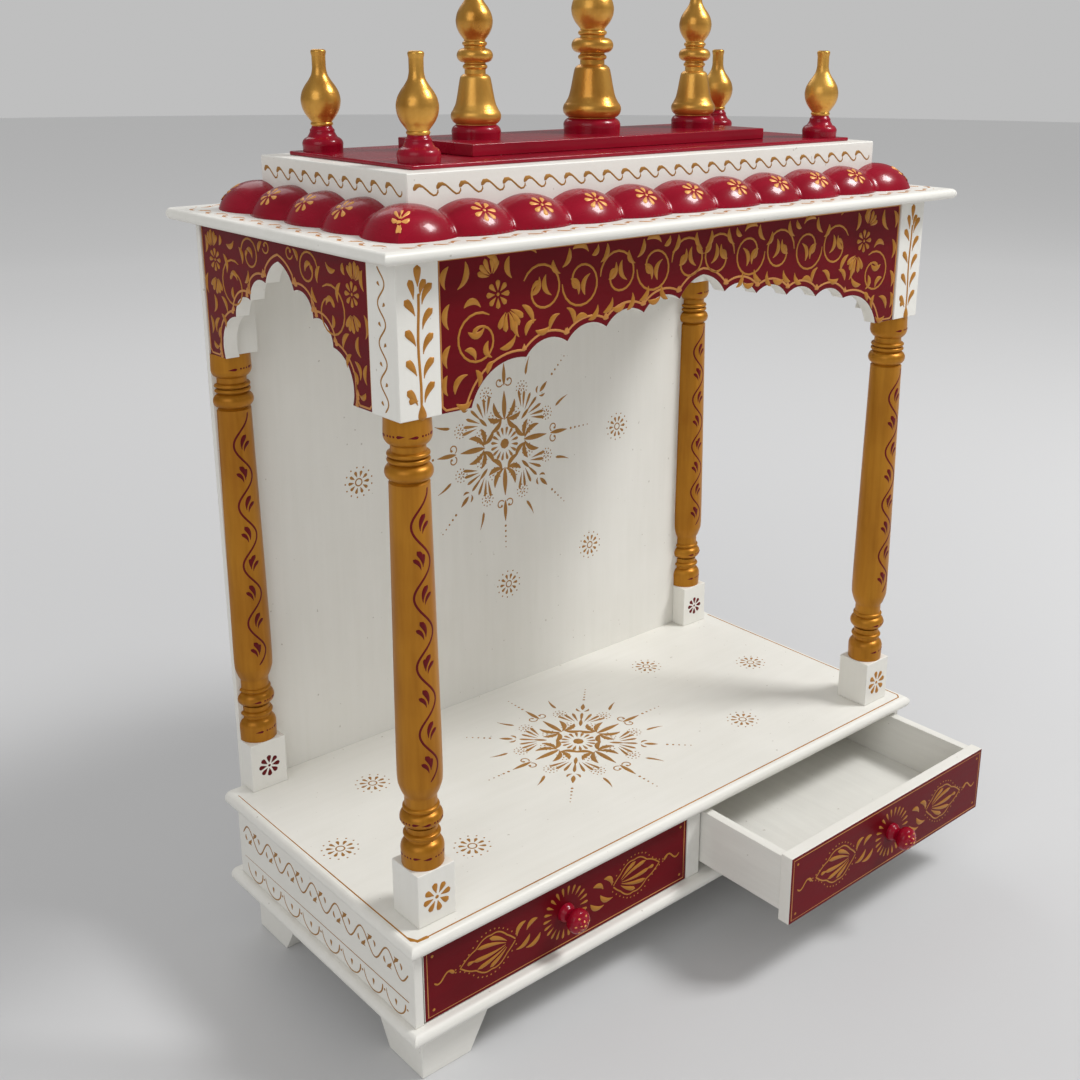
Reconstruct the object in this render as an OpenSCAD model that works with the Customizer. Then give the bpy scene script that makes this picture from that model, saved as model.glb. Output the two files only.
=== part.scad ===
// Wooden home temple: a base with two drawers, a deck, four turned pillars, arch boards,
// a cornice with a petal moulding, and a stepped roof with seven finials.
// X runs along the front, Y goes to the back, Z is up. Sizes are in millimetres.

/* [Base] */
// Width of the deck along the front
deck_width = 610; // [500:5:750]
// Depth of the deck
deck_depth = 289; // [250:5:380]
// Thickness of the deck and the plinth
board_thickness = 12; // [10:0.5:18]
// Height of the bracket feet
foot_height = 45; // [25:1:60]
// Length of a foot along each side, at its top
foot_length = 72; // [40:1:90]
// How much shorter a foot is at its bottom
foot_taper = 26; // [0:1:35]
// Distance from the plinth edge to the feet
foot_inset = 17; // [5:1:30]
// Height of the drawer space
drawer_space = 66; // [50:1:100]
// Overhang of the deck past the drawer fronts
front_overhang = 9; // [4:1:20]
// Overhang of the deck past the cabinet sides
side_overhang = 7; // [4:1:20]
// Thickness of the cabinet sides
cabinet_side = 8; // [6:0.5:15]
// Thickness of the cabinet back
cabinet_back = 10; // [6:0.5:15]
// Thickness of the board between the drawers
divider_thickness = 16; // [10:1:30]
// Height of the runners under the drawers
runner_height = 10; // [6:0.5:16]
// Width of a runner
runner_width = 18; // [10:1:30]

/* [Drawers] */
// How far the right drawer stands open
right_pull_out = 104; // [0:1:165]
// How far the left drawer stands open
left_pull_out = 0; // [0:1:165]
// Gap round a drawer front
front_gap = 1; // [0.5:0.1:3]
// Gap beside a drawer box
box_gap = 1.5; // [0.8:0.1:3]
// Gap between a drawer and its runners
runner_gap = 0.3; // [0.2:0.05:0.6]
// Thickness of a drawer front
front_thickness = 12; // [8:0.5:20]
// Thickness of a drawer side and back
box_wall = 9; // [6:0.5:15]
// Thickness of a drawer bottom
box_floor = 6; // [3:0.5:10]
// Depth of a drawer box behind its front
box_depth = 222; // [150:1:230]
// Height from the box top to the top of the front
box_drop = 2.5; // [0:0.5:15]
// Radius of a knob
knob_radius = 10.5; // [7:0.5:18]
// Length of a knob
knob_length = 24; // [15:0.5:35]

/* [Shrine] */
// Height from the deck to the cornice
shrine_height = 499; // [350:2:650]
// Distance from the deck side to a pillar axis
pillar_side_inset = 36; // [25:1:60]
// Distance from the deck front to the front pillar axes
pillar_front_inset = 34.5; // [25:0.5:60]
// Width of a pillar's square parts
block_width = 34; // [26:0.5:45]
// Height of the square foot of a pillar
block_height = 45; // [30:1:70]
// Height of the square head of a pillar
head_height = 107; // [80:1:140]
// Radius of the shaft at its foot
shaft_foot_radius = 17; // [13:0.1:17]
// Radius of the shaft at its top
shaft_top_radius = 14.4; // [10:0.1:18]
// Depth of the back pillars, which are split to lie flat against the back panel
back_block_depth = 18; // [17:0.5:30]
// Thickness of the back panel
panel_thickness = 6; // [4:0.5:12]

/* [Arches] */
// Thickness of the arch boards
arch_thickness = 12; // [8:0.5:18]
// How far the arch boards stand behind the pillar faces
arch_setback = 1.5; // [0:0.5:5]
// Width of an arch board's level end
arch_end_width = 26; // [12:1:40]
// Rise of the front arch opening
front_apex = 68; // [50:1:75]
// Rise of the side arch openings
side_apex = 88; // [60:1:95]
// Depth of the scallop at each end of an arch opening
end_scallop_depth = 11; // [3:0.5:12]
// Depth of a scallop
scallop_depth = 8; // [3:0.5:9]

/* [Roof] */
// Thickness of the cornice
cornice_thickness = 9; // [7:0.5:15]
// Overhang of the cornice past the pillar heads
cornice_overhang = 20; // [8:1:30]
// Overhang of the cornice past the back panel
cornice_back_overhang = 8; // [0:1:20]
// Height of the tier that carries the roof plate
tier_height = 41; // [25:1:60]
// Width of the cornice left free beside the tier
cornice_margin = 55; // [44:1:80]
// Height of the petal moulding
petal_height = 22; // [16:0.5:28]
// Depth of the petal moulding
petal_depth = 31; // [30:0.5:42]
// Edge of the tier left free round the roof plate
plate_inset = 16; // [8:1:30]
// Thickness of the roof plate
plate_thickness = 3; // [3:0.5:10]
// Width of the raised slab
slab_width = 318; // [200:1:420]
// Depth of the raised slab
slab_depth = 96; // [60:1:130]
// Thickness of the raised slab
slab_thickness = 9; // [5:0.5:20]

/* [Finials] */
// Height of a corner finial
corner_finial_height = 74; // [50:1:90]
// Distance from the plate edges to a corner finial's axis
corner_finial_inset = 18.5; // [17:0.5:50]
// Height of a side spire
side_spire_height = 120; // [90:1:150]
// Height of the middle spire
middle_spire_height = 135; // [90:1:170]
// How much wider the middle spire is than the side spires
middle_spire_girth = 1.24; // [1:0.01:1.4]
// Distance between neighbouring spires
spire_spacing = 119; // [80:1:140]

/* [Hidden] */
$fn = 64;

white_paint = [0.93, 0.92, 0.88];
red_paint = [0.55, 0.02, 0.12];
gold_paint = [0.72, 0.48, 0.12];

// Heights of the boards
plinth_bottom = foot_height;
plinth_top = plinth_bottom + board_thickness;
deck_bottom = plinth_top + drawer_space;
deck_top = deck_bottom + board_thickness;
cornice_bottom = deck_top + shrine_height;
cornice_top = cornice_bottom + cornice_thickness;
tier_top = cornice_top + tier_height;
plate_top = tier_top + plate_thickness;
slab_top = plate_top + slab_thickness;

// Places measured from the middle of the deck
cabinet_half_width = deck_width / 2 - side_overhang;
cabinet_half_depth = deck_depth / 2 - front_overhang;
pillar_x = deck_width / 2 - pillar_side_inset;
pillar_front_y = -deck_depth / 2 + pillar_front_inset;
pillar_back_y = deck_depth / 2 - back_block_depth + block_width / 2;
head_bottom = cornice_bottom - head_height;
turning_height = shrine_height - block_height - head_height;
side_arch_outer = pillar_x + block_width / 2 - arch_setback;
side_arch_inner = side_arch_outer - arch_thickness;
front_arch_width = 2 * pillar_x - block_width;
panel_width = 2 * pillar_x + block_width;
side_arch_front = pillar_front_y + block_width / 2;
side_arch_back = deck_depth / 2;
side_arch_width = side_arch_back - side_arch_front;

cornice_width = 2 * pillar_x + block_width + 2 * cornice_overhang;
cornice_front = pillar_front_y - block_width / 2 - cornice_overhang;
cornice_back = deck_depth / 2 + panel_thickness + cornice_back_overhang;
cornice_depth = cornice_back - cornice_front;
cornice_y = (cornice_back + cornice_front) / 2;
tier_width = cornice_width - 2 * cornice_margin;
tier_depth = cornice_depth - 2 * cornice_margin;
plate_width = tier_width - 2 * plate_inset;
plate_depth = tier_depth - 2 * plate_inset;

// Petal moulding: beads turned round an axis that lies under the cornice top
petal_sink = 8;
petal_radius = petal_height + petal_sink;
petal_axis_out = petal_depth - sqrt(petal_radius * petal_radius - petal_sink * petal_sink);
petal_valley = 7;
front_petal_gaps = 10;
side_petal_gaps = 4;

// Drawers: the bay is the space between a cabinet side and the divider
bay_width = cabinet_half_width - cabinet_side - divider_thickness / 2;
bay_x = divider_thickness / 2 + bay_width / 2;
drawer_width = bay_width - 2 * front_gap;
drawer_height = drawer_space - 2 * front_gap;
drawer_bottom_z = plinth_top + front_gap;
box_width = bay_width - 2 * box_gap;
box_bottom = plinth_top + runner_height + runner_gap;
box_top = drawer_bottom_z + drawer_height - box_drop;
box_height = box_top - box_bottom;
knob_z = drawer_bottom_z + drawer_height / 2;

// The frame's origin is under the middle of the whole object with the drawers as they stand
nearest_front_y = -cabinet_half_depth - max(left_pull_out, right_pull_out) - knob_length;
frame_y = -(nearest_front_y + cornice_back) / 2;

// ---------- shared shapes ----------

// Puts children in the frame, from places measured from the middle of the deck
module framed() {
    translate([0, frame_y, 0]) children();
}

// A box that is centred across and deep, standing on its bottom face
module board(width, depth, height) {
    translate([-width / 2, -depth / 2, 0]) cube([width, depth, height]);
}

// The end outline of a board with half-round edges, standing on the line y = 0
module round_edged(length, thickness, back_square = false) {
    radius = thickness / 2;
    translate([-length / 2 + radius, 0]) square([length - thickness, thickness]);
    translate([-length / 2 + radius, radius]) circle(radius);
    if (back_square) {
        translate([length / 2 - radius, 0]) square([radius, thickness]);
    } else {
        translate([length / 2 - radius, radius]) circle(radius);
    }
}

// A board with half-round edges at the front and the sides and a square back edge
module moulded_board(width, depth, thickness) {
    intersection() {
        translate([0, depth / 2, 0]) rotate([90, 0, 0])
            linear_extrude(depth) round_edged(width, thickness);
        translate([-width / 2, 0, 0]) rotate([90, 0, 90])
            linear_extrude(width) round_edged(depth, thickness, back_square = true);
    }
}

// Turns an outline drawn to the right of the axis
module turned() {
    rotate_extrude() intersection() {
        square([100, 1000]);
        children();
    }
}

// One bead of an outline: a circle whose outer point is at a radius and a height
module bead(outer_radius, height, bead_radius) {
    translate([outer_radius - bead_radius, height]) circle(bead_radius);
}

// A straight-sided part of a turned outline
module taper(bottom_radius, top_radius, bottom, top) {
    polygon([[0, bottom], [bottom_radius, bottom], [top_radius, top], [0, top]]);
}

// ---------- base ----------

// The outline of a foot along one side, from its outer corner
module foot_outline() {
    polygon([
        [0, 0], [foot_length - foot_taper, 0], [foot_length, foot_height], [0, foot_height]
    ]);
}

// A foot with its outer corner at the origin, running to +X and +Y
module foot() {
    intersection() {
        translate([0, foot_length, 0]) rotate([90, 0, 0])
            linear_extrude(foot_length) foot_outline();
        rotate([90, 0, 90]) linear_extrude(foot_length) foot_outline();
    }
}

// Mirrors the front left foot to a corner: -1 or 1 on each axis
module foot_at(side, end) {
    color(white_paint) framed()
        mirror([side > 0 ? 1 : 0, 0, 0]) mirror([0, end > 0 ? 1 : 0, 0])
            translate([-deck_width / 2 + foot_inset, -deck_depth / 2 + foot_inset, 0]) foot();
}

module plinth() {
    color(white_paint) framed()
        translate([0, 0, plinth_bottom]) moulded_board(deck_width, deck_depth, board_thickness);
}

module cabinet_side_at(side) {
    color(white_paint) framed()
        translate([side * (cabinet_half_width - cabinet_side / 2), 0, plinth_top])
            board(cabinet_side, 2 * cabinet_half_depth, drawer_space);
}

module cabinet_back_board() {
    color(white_paint) framed()
        translate([0, cabinet_half_depth - cabinet_back / 2, plinth_top])
            board(2 * (cabinet_half_width - cabinet_side), cabinet_back, drawer_space);
}

module cabinet_divider() {
    depth = 2 * cabinet_half_depth - cabinet_back;
    color(white_paint) framed()
        translate([0, -cabinet_back / 2, plinth_top])
            board(divider_thickness, depth, drawer_space);
}

// Four strips, two under each drawer, clear of the drawer fronts
module drawer_runners() {
    front = -cabinet_half_depth + front_thickness + 6;
    depth = cabinet_half_depth - cabinet_back - front;
    color(white_paint) framed()
        for (bay = [-1, 1], edge = [-1, 1])
            translate([
                bay * bay_x + edge * (bay_width - runner_width) / 2, front + depth / 2, plinth_top
            ]) board(runner_width, depth, runner_height);
}

module deck() {
    color(white_paint) framed()
        translate([0, 0, deck_bottom]) moulded_board(deck_width, deck_depth, board_thickness);
}

// ---------- drawers ----------

// Puts children at a drawer: middle of the bay, the closed front face at y = 0
module drawer_place(side) {
    pull_out = side < 0 ? left_pull_out : right_pull_out;
    framed() translate([side * bay_x, -cabinet_half_depth - pull_out, 0]) children();
}

module drawer_front(side) {
    color(red_paint) drawer_place(side)
        translate([0, front_thickness / 2, drawer_bottom_z])
            board(drawer_width, front_thickness, drawer_height);
}

module drawer_sides(side) {
    color(white_paint) drawer_place(side)
        for (edge = [-1, 1])
            translate([
                edge * (box_width - box_wall) / 2, front_thickness + box_depth / 2, box_bottom
            ]) board(box_wall, box_depth, box_height);
}

module drawer_back(side) {
    color(white_paint) drawer_place(side)
        translate([0, front_thickness + box_depth - box_wall / 2, box_bottom])
            board(box_width - 2 * box_wall, box_wall, box_height);
}

module drawer_bottom(side) {
    depth = box_depth - box_wall;
    color(white_paint) drawer_place(side)
        translate([0, front_thickness + depth / 2, box_bottom])
            board(box_width - 2 * box_wall, depth, box_floor);
}

// A knob: a waisted stem, a rounded head and a button on its end
module knob(side) {
    head_length = 0.46 * knob_length;
    rim = 0.36 * head_length;
    color(red_paint) drawer_place(side)
        translate([0, 0, knob_z]) rotate([90, 0, 0]) turned() {
            taper(0.78 * knob_radius, 0.55 * knob_radius, 0, 0.22 * knob_length);
            taper(0.55 * knob_radius, 0.62 * knob_radius, 0.22 * knob_length, 0.5 * knob_length);
            bead(knob_radius, 0.4 * knob_length + rim, rim);
            bead(knob_radius, 0.4 * knob_length + head_length - rim, rim);
            translate([0, 0.4 * knob_length]) square([knob_radius - rim, head_length]);
            translate([0, 0.4 * knob_length + rim]) square([knob_radius, head_length - 2 * rim]);
            taper(0.5 * knob_radius, 0.38 * knob_radius, 0.8 * knob_length, knob_length);
        }
}

// ---------- shrine ----------

// The outline of the turned part of a pillar, above its square foot
module pillar_outline() {
    neck = 0.7 * shaft_foot_radius;
    waist = 0.95 * shaft_top_radius;
    shaft_bottom = 73;
    shaft_top = turning_height - 47;
    square([neck, turning_height]);
    // cup on the square foot
    square([0.97 * shaft_foot_radius, 13]);
    bead(0.97 * shaft_foot_radius, 13, 8);
    bead(0.84 * shaft_foot_radius, 25, 2);
    // ring between two necks
    bead(0.96 * shaft_foot_radius, 39, 6);
    bead(0.84 * shaft_foot_radius, 48, 2);
    // shaft, rounded off at its foot
    bead(shaft_foot_radius, shaft_bottom, 9);
    taper(shaft_foot_radius, shaft_top_radius, shaft_bottom, shaft_top);
    // ring, two collars and a cup under the square head
    taper(waist, waist, shaft_top, turning_height);
    bead(shaft_foot_radius, turning_height - 39.5, 6);
    bead(1.06 * shaft_top_radius, turning_height - 30.5, 2);
    bead(1.06 * shaft_top_radius, turning_height - 26.5, 2);
    bead(shaft_foot_radius, turning_height - 13, 8);
    translate([0, turning_height - 13]) square([shaft_foot_radius, 13]);
}

// A pillar's square foot and turned part
module pillar_shaft() {
    board(block_width, block_width, block_height);
    translate([0, 0, block_height]) turned() pillar_outline();
}

module front_pillar(side) {
    color(gold_paint) framed()
        translate([side * pillar_x, pillar_front_y, deck_top]) {
            pillar_shaft();
            translate([0, 0, shrine_height - head_height])
                board(block_width, block_width, head_height);
        }
}

// A back pillar is split where it meets the back panel, and its head is narrower,
// because the side arch board passes outside it
module back_pillar(side) {
    head_outer = side_arch_inner - pillar_x;
    head_width = block_width / 2 + head_outer;
    color(gold_paint) framed() intersection() {
        translate([side * pillar_x, pillar_back_y, deck_top]) {
            pillar_shaft();
            translate([side * (head_outer - head_width / 2), 0, shrine_height - head_height])
                board(head_width, block_width, head_height);
        }
        translate([side * pillar_x, deck_depth / 2 - back_block_depth / 2, deck_top])
            board(2 * block_width, back_block_depth, shrine_height);
    }
}

module back_panel() {
    color(white_paint) framed()
        translate([0, (deck_depth + panel_thickness) / 2, deck_bottom])
            board(panel_width, panel_thickness, cornice_bottom - deck_bottom);
}

// ---------- arches ----------

// The circle that scoops a scallop between two points of an arch opening
module scallop(from, to, depth) {
    chord = norm(to - from);
    radius = (chord * chord / 4 + depth * depth) / (2 * depth);
    outward = [from.y - to.y, to.x - from.x] / chord;
    translate((from + to) / 2 - outward * (radius - depth)) circle(radius);
}

// The circle that rounds the pointed crown from its apex down to the first cusp
module crown_side(apex, first_cusp) {
    scallop([0, apex], first_cusp, 0.42 * scallop_depth);
}

// An arch opening: a pointed crown, scallops between cusps that lie on falling lines, and
// an end scallop down to the foot. gaps is the number of scallops between a side's cusps.
// The straight outline lies inside the scallops, so that arcs alone form the edge
module arch_opening(apex, first, last, gaps, first_height, last_height, foot) {
    cusps = [for (i = [0:gaps])
        [first + i / gaps * (last - first), first_height + i / gaps * (last_height - first_height)]];
    below = [0, -1];
    right = [for (cusp = cusps) cusp + below];
    left = [for (i = [gaps:-1:0]) [-right[i].x, right[i].y]];
    polygon(concat([[-foot, 0] + below], left, right, [[foot, 0] + below]));
    intersection() {
        crown_side(apex, cusps[0]);
        mirror([1, 0]) crown_side(apex, cusps[0]);
    }
    for (side = [0, 1]) mirror([side, 0]) {
        for (i = [0:gaps - 1]) scallop(cusps[i], cusps[i + 1], scallop_depth);
        scallop(cusps[gaps], [foot, 0], end_scallop_depth);
    }
}

// An arch board in the X-Z plane, standing on z = 0, its outer face at y = 0
module arch_board(width) {
    translate([0, arch_thickness, 0]) rotate([90, 0, 0]) linear_extrude(arch_thickness)
        difference() {
            translate([-width / 2, 0]) square([width, head_height]);
            children();
        }
}

module front_arch() {
    foot = front_arch_width / 2 - arch_end_width;
    color(red_paint) framed()
        translate([0, pillar_front_y - block_width / 2 + arch_setback, head_bottom])
            arch_board(front_arch_width)
                arch_opening(front_apex, 0.112 * foot, 0.785 * foot, 4,
                    0.76 * front_apex, 0.42 * front_apex, foot);
}

module side_arch(side) {
    foot = side_arch_width / 2 - arch_end_width;
    color(red_paint) framed()
        translate([
            side * side_arch_outer, (side_arch_front + side_arch_back) / 2, head_bottom
        ]) rotate([0, 0, side * 90]) arch_board(side_arch_width)
            arch_opening(side_apex, 0.22 * foot, 0.76 * foot, 2,
                0.79 * side_apex, 0.42 * side_apex, foot);
}

// ---------- roof ----------

module cornice() {
    color(white_paint) framed()
        translate([0, cornice_y, cornice_bottom])
            moulded_board(cornice_width, cornice_depth, cornice_thickness);
}

// A strip of petals along a side of the tier: the tier face is at y = 0, petals to -Y.
// The first and the last petal are cut at the mitred corners
module petal_strip(length, gaps) {
    reach = petal_depth + 4;
    pitch = (length + 2 * petal_axis_out) / gaps;
    bulge = (pitch * pitch / 4 + petal_valley * petal_valley) / (2 * petal_valley);
    color(red_paint) intersection() {
        linear_extrude(petal_height + 2) polygon([
            [-length / 2, 0], [length / 2, 0],
            [length / 2 + reach, -reach], [-length / 2 - reach, -reach]
        ]);
        translate([0, -petal_axis_out, -petal_sink]) rotate([0, 90, 0]) rotate_extrude() {
            for (i = [0:gaps]) translate([0, (i - gaps / 2) * pitch])
                intersection() {
                    translate([0, -pitch / 2 - 1]) square([petal_radius, pitch + 2]);
                    translate([petal_radius - bulge, 0]) circle(bulge, $fn = 128);
                }
            translate([0, -(gaps + 1) * pitch / 2])
                square([petal_radius - petal_valley - 1, (gaps + 1) * pitch]);
        }
    }
}

module front_petals() {
    framed() translate([0, cornice_y - tier_depth / 2, cornice_top])
        petal_strip(tier_width, front_petal_gaps);
}

module back_petals() {
    framed() translate([0, cornice_y + tier_depth / 2, cornice_top])
        rotate([0, 0, 180]) petal_strip(tier_width, front_petal_gaps);
}

module side_petals(side) {
    framed() translate([side * tier_width / 2, cornice_y, cornice_top])
        rotate([0, 0, side * 90]) petal_strip(tier_depth, side_petal_gaps);
}

module tier() {
    color(white_paint) framed()
        translate([0, cornice_y, cornice_top]) board(tier_width, tier_depth, tier_height);
}

module roof_plate() {
    color(red_paint) framed()
        translate([0, cornice_y, tier_top]) board(plate_width, plate_depth, plate_thickness);
}

module roof_slab() {
    color(red_paint) framed()
        translate([0, cornice_y, plate_top]) board(slab_width, slab_depth, slab_thickness);
}

// The outline of an onion bulb with a slim neck and a rounded tip.
// level is the height of the widest place, and top is the height of the tip
module bulb_outline(level, radius, top) {
    rise = top - level;
    tip = 0.37 * radius;
    translate([0, level]) circle(radius);
    taper(0.9 * radius, 0.6 * radius, level + 0.43 * radius, level + 0.33 * rise);
    taper(0.6 * radius, 0.42 * radius, level + 0.33 * rise, level + 0.48 * rise);
    taper(0.42 * radius, tip, level + 0.48 * rise, top - tip);
    translate([0, top - tip]) circle(tip);
}

module corner_finial(side, end) {
    unit = corner_finial_height / 76;
    color(gold_paint) framed()
        translate([
            side * (plate_width / 2 - corner_finial_inset),
            cornice_y + end * (plate_depth / 2 - corner_finial_inset), plate_top
        ]) turned() scale(unit) {
            // rounded base with a small second step
            square([15.8, 5.5]);
            bead(15.8, 5.5, 5.5);
            square([10, 11]);
            bead(9.3, 14, 3);
            // collar under the bulb
            square([6.4, 28]);
            bead(8.4, 23.5, 2.4);
            bulb_outline(38.5, 15.2, 76);
        }
}

// A spire: a rounded base, a bell, a ring between two necks, and a bulb
module spire(place, height, girth) {
    unit = height / 126;
    color(gold_paint) framed()
        translate([place * spire_spacing, cornice_y, slab_top]) turned() {
            // base
            square([19 * girth, 5.5 * unit]);
            bead(19 * girth, 5.5 * unit, 5.5 * unit);
            square([15 * girth, 17.5 * unit]);
            // bell
            bead(19.3 * girth, 17.5 * unit, 6.5 * unit);
            taper(18.3 * girth, 14.8 * girth, 21.6 * unit, 30 * unit);
            taper(14.8 * girth, 11.4 * girth, 30 * unit, 47 * unit);
            bead(11.4 * girth, 47 * unit, 3 * unit);
            square([8 * girth, 78 * unit]);
            // ring between two necks
            bead(9.4 * girth, 55.5 * unit, 2 * unit);
            bead(13.7 * girth, 64 * unit, 5.6 * unit);
            bead(9.4 * girth, 73 * unit, 1.8 * unit);
            bulb_outline(89 * unit, 14 * girth, height);
        }
}

// ---------- nodes ----------

foot_at(-1, -1);  // front_left_foot
foot_at(1, -1);  // front_right_foot
foot_at(-1, 1);  // back_left_foot
foot_at(1, 1);  // back_right_foot
plinth();
cabinet_side_at(-1);  // cabinet_left_side
cabinet_side_at(1);  // cabinet_right_side
cabinet_back_board();
cabinet_divider();
drawer_runners();
deck();
back_panel();
front_pillar(-1);  // front_left_pillar
front_pillar(1);  // front_right_pillar
back_pillar(-1);  // back_left_pillar
back_pillar(1);  // back_right_pillar
front_arch();
side_arch(-1);  // left_arch
side_arch(1);  // right_arch
cornice();
front_petals();
back_petals();
side_petals(-1);  // left_petals
side_petals(1);  // right_petals
tier();
roof_plate();
roof_slab();
corner_finial(-1, -1);  // front_left_finial
corner_finial(1, -1);  // front_right_finial
corner_finial(-1, 1);  // back_left_finial
corner_finial(1, 1);  // back_right_finial
spire(-1, side_spire_height, 1);  // left_spire
spire(0, middle_spire_height, middle_spire_girth);  // middle_spire
spire(1, side_spire_height, 1);  // right_spire
drawer_front(-1);  // left_drawer_front
drawer_sides(-1);  // left_drawer_sides
drawer_back(-1);  // left_drawer_back
drawer_bottom(-1);  // left_drawer_bottom
knob(-1);  // left_drawer_knob
drawer_front(1);  // right_drawer_front
drawer_sides(1);  // right_drawer_sides
drawer_back(1);  // right_drawer_back
drawer_bottom(1);  // right_drawer_bottom
knob(1);  // right_drawer_knob
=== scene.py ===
"""Looks of a painted wooden home temple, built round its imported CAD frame.

Boards are the frame's own solids with eased edges, turned parts are spun from
profiles, and the ornament is raised paint: strokes drawn in millimetres on flat,
turned or lobed grounds.
"""

import logging
import math
import random
import sys
from dataclasses import dataclass, field
from enum import Enum
from itertools import product
from typing import Callable, ClassVar, Protocol

import bmesh
import bpy
from mathutils import Matrix, Vector

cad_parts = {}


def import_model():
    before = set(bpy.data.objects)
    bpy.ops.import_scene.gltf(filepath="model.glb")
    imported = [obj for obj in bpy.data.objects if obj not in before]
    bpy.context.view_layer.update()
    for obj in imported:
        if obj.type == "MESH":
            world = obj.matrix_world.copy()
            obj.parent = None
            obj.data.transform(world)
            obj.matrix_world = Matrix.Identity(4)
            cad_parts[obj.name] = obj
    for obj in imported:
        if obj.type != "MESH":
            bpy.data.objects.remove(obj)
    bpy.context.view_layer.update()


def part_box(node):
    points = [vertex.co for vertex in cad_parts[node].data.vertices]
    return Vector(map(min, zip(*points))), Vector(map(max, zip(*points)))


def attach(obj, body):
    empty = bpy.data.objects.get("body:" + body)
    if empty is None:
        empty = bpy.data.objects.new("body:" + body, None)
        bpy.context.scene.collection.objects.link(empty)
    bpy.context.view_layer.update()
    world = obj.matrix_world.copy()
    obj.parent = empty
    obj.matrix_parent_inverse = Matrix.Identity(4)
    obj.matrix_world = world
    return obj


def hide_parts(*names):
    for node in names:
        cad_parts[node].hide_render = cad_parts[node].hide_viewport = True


MM = 0.001
MERGE = 0.002  # vertices closer than this, in mm, are one
FLAT_RISE, VINE_RISE, LINE_RISE, BOLD_RISE = 0.16, 0.22, 0.3, 0.35  # a stroke's height over half its width
FINIAL_UNITS, SPIRE_UNITS = 76, 126  # the heights that the turned outlines are written for
X, Y, Z = Vector((1, 0, 0)), Vector((0, 1, 0)), Vector((0, 0, 1))
SIDES = {"front": (X, -Y), "right": (Y, X), "back": (-X, Y), "left": (-Y, -X)}  # along a side, and out of it
LOG = logging.getLogger("temple")
Colour = tuple[float, float, float]
Socket = bpy.types.NodeSocket
Material = bpy.types.Material


class Hand(Enum):
    """A side of the temple, as the sign of X."""

    LEFT = -1
    RIGHT = 1


class End(Enum):
    """The front or the back of the temple, as the sign of Y."""

    FRONT = -1
    BACK = 1


class Grain(Enum):
    """The way the brush was drawn, as how tightly its streaks are packed on each axis."""

    ACROSS = (0.08, 1.0, 1.0)
    DEEP = (1.0, 0.08, 1.0)
    UP = (1.0, 1.0, 0.08)


# ---------------------------------------------------------------- finishes


class Tree:
    """A shader node tree, with short calls to add and join nodes."""

    def __init__(self, tree: bpy.types.NodeTree) -> None:
        """Args: tree: the node tree to build in."""
        self.tree = tree

    def add(self, kind: str, **settings: object) -> bpy.types.Node:
        """Adds a node.

        Args:
            kind: the node's type name.
            settings: properties to set on it.
        Returns:
            The new node.
        """
        node = self.tree.nodes.new(kind)
        for key, value in settings.items():
            setattr(node, key, value)
        return node

    def join(self, output: Socket, target: Socket) -> None:
        """Links an output socket to an input socket."""
        self.tree.links.new(output, target)

    def noise(self, vector: Socket, scale: Socket | float, detail: float) -> Socket:
        """A noise texture's value.

        Args:
            vector: the coordinates that it reads.
            scale: how many lumps there are to a metre.
            detail: how many finer octaves it has.
        Returns:
            The value's socket.
        """
        node = self.add("ShaderNodeTexNoise")
        self.feed(scale, node.inputs["Scale"])
        node.inputs["Detail"].default_value = detail
        self.join(vector, node.inputs["Vector"])
        return node.outputs["Fac"]

    def feed(self, value: Socket | float, target: Socket) -> None:
        """Links a socket to an input, or sets the input to a number."""
        if isinstance(value, (int, float)):
            target.default_value = value
        else:
            self.join(value, target)

    def ramp(self, value: Socket, low: float, high: float, to_low: float = 0, to_high: float = 1) -> Socket:
        """Maps a value from low..high to to_low..to_high, held at the ends, and returns its socket."""
        node = self.add("ShaderNodeMapRange")
        for name, number in zip(("From Min", "From Max", "To Min", "To Max"), (low, high, to_low, to_high)):
            node.inputs[name].default_value = number
        self.join(value, node.inputs["Value"])
        return node.outputs["Result"]

    def maths(self, operation: str, first: Socket, second: Socket | float) -> Socket:
        """One Math node on two values, and returns its socket."""
        node = self.add("ShaderNodeMath", operation=operation)
        self.join(first, node.inputs[0])
        self.feed(second, node.inputs[1])
        return node.outputs[0]


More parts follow.
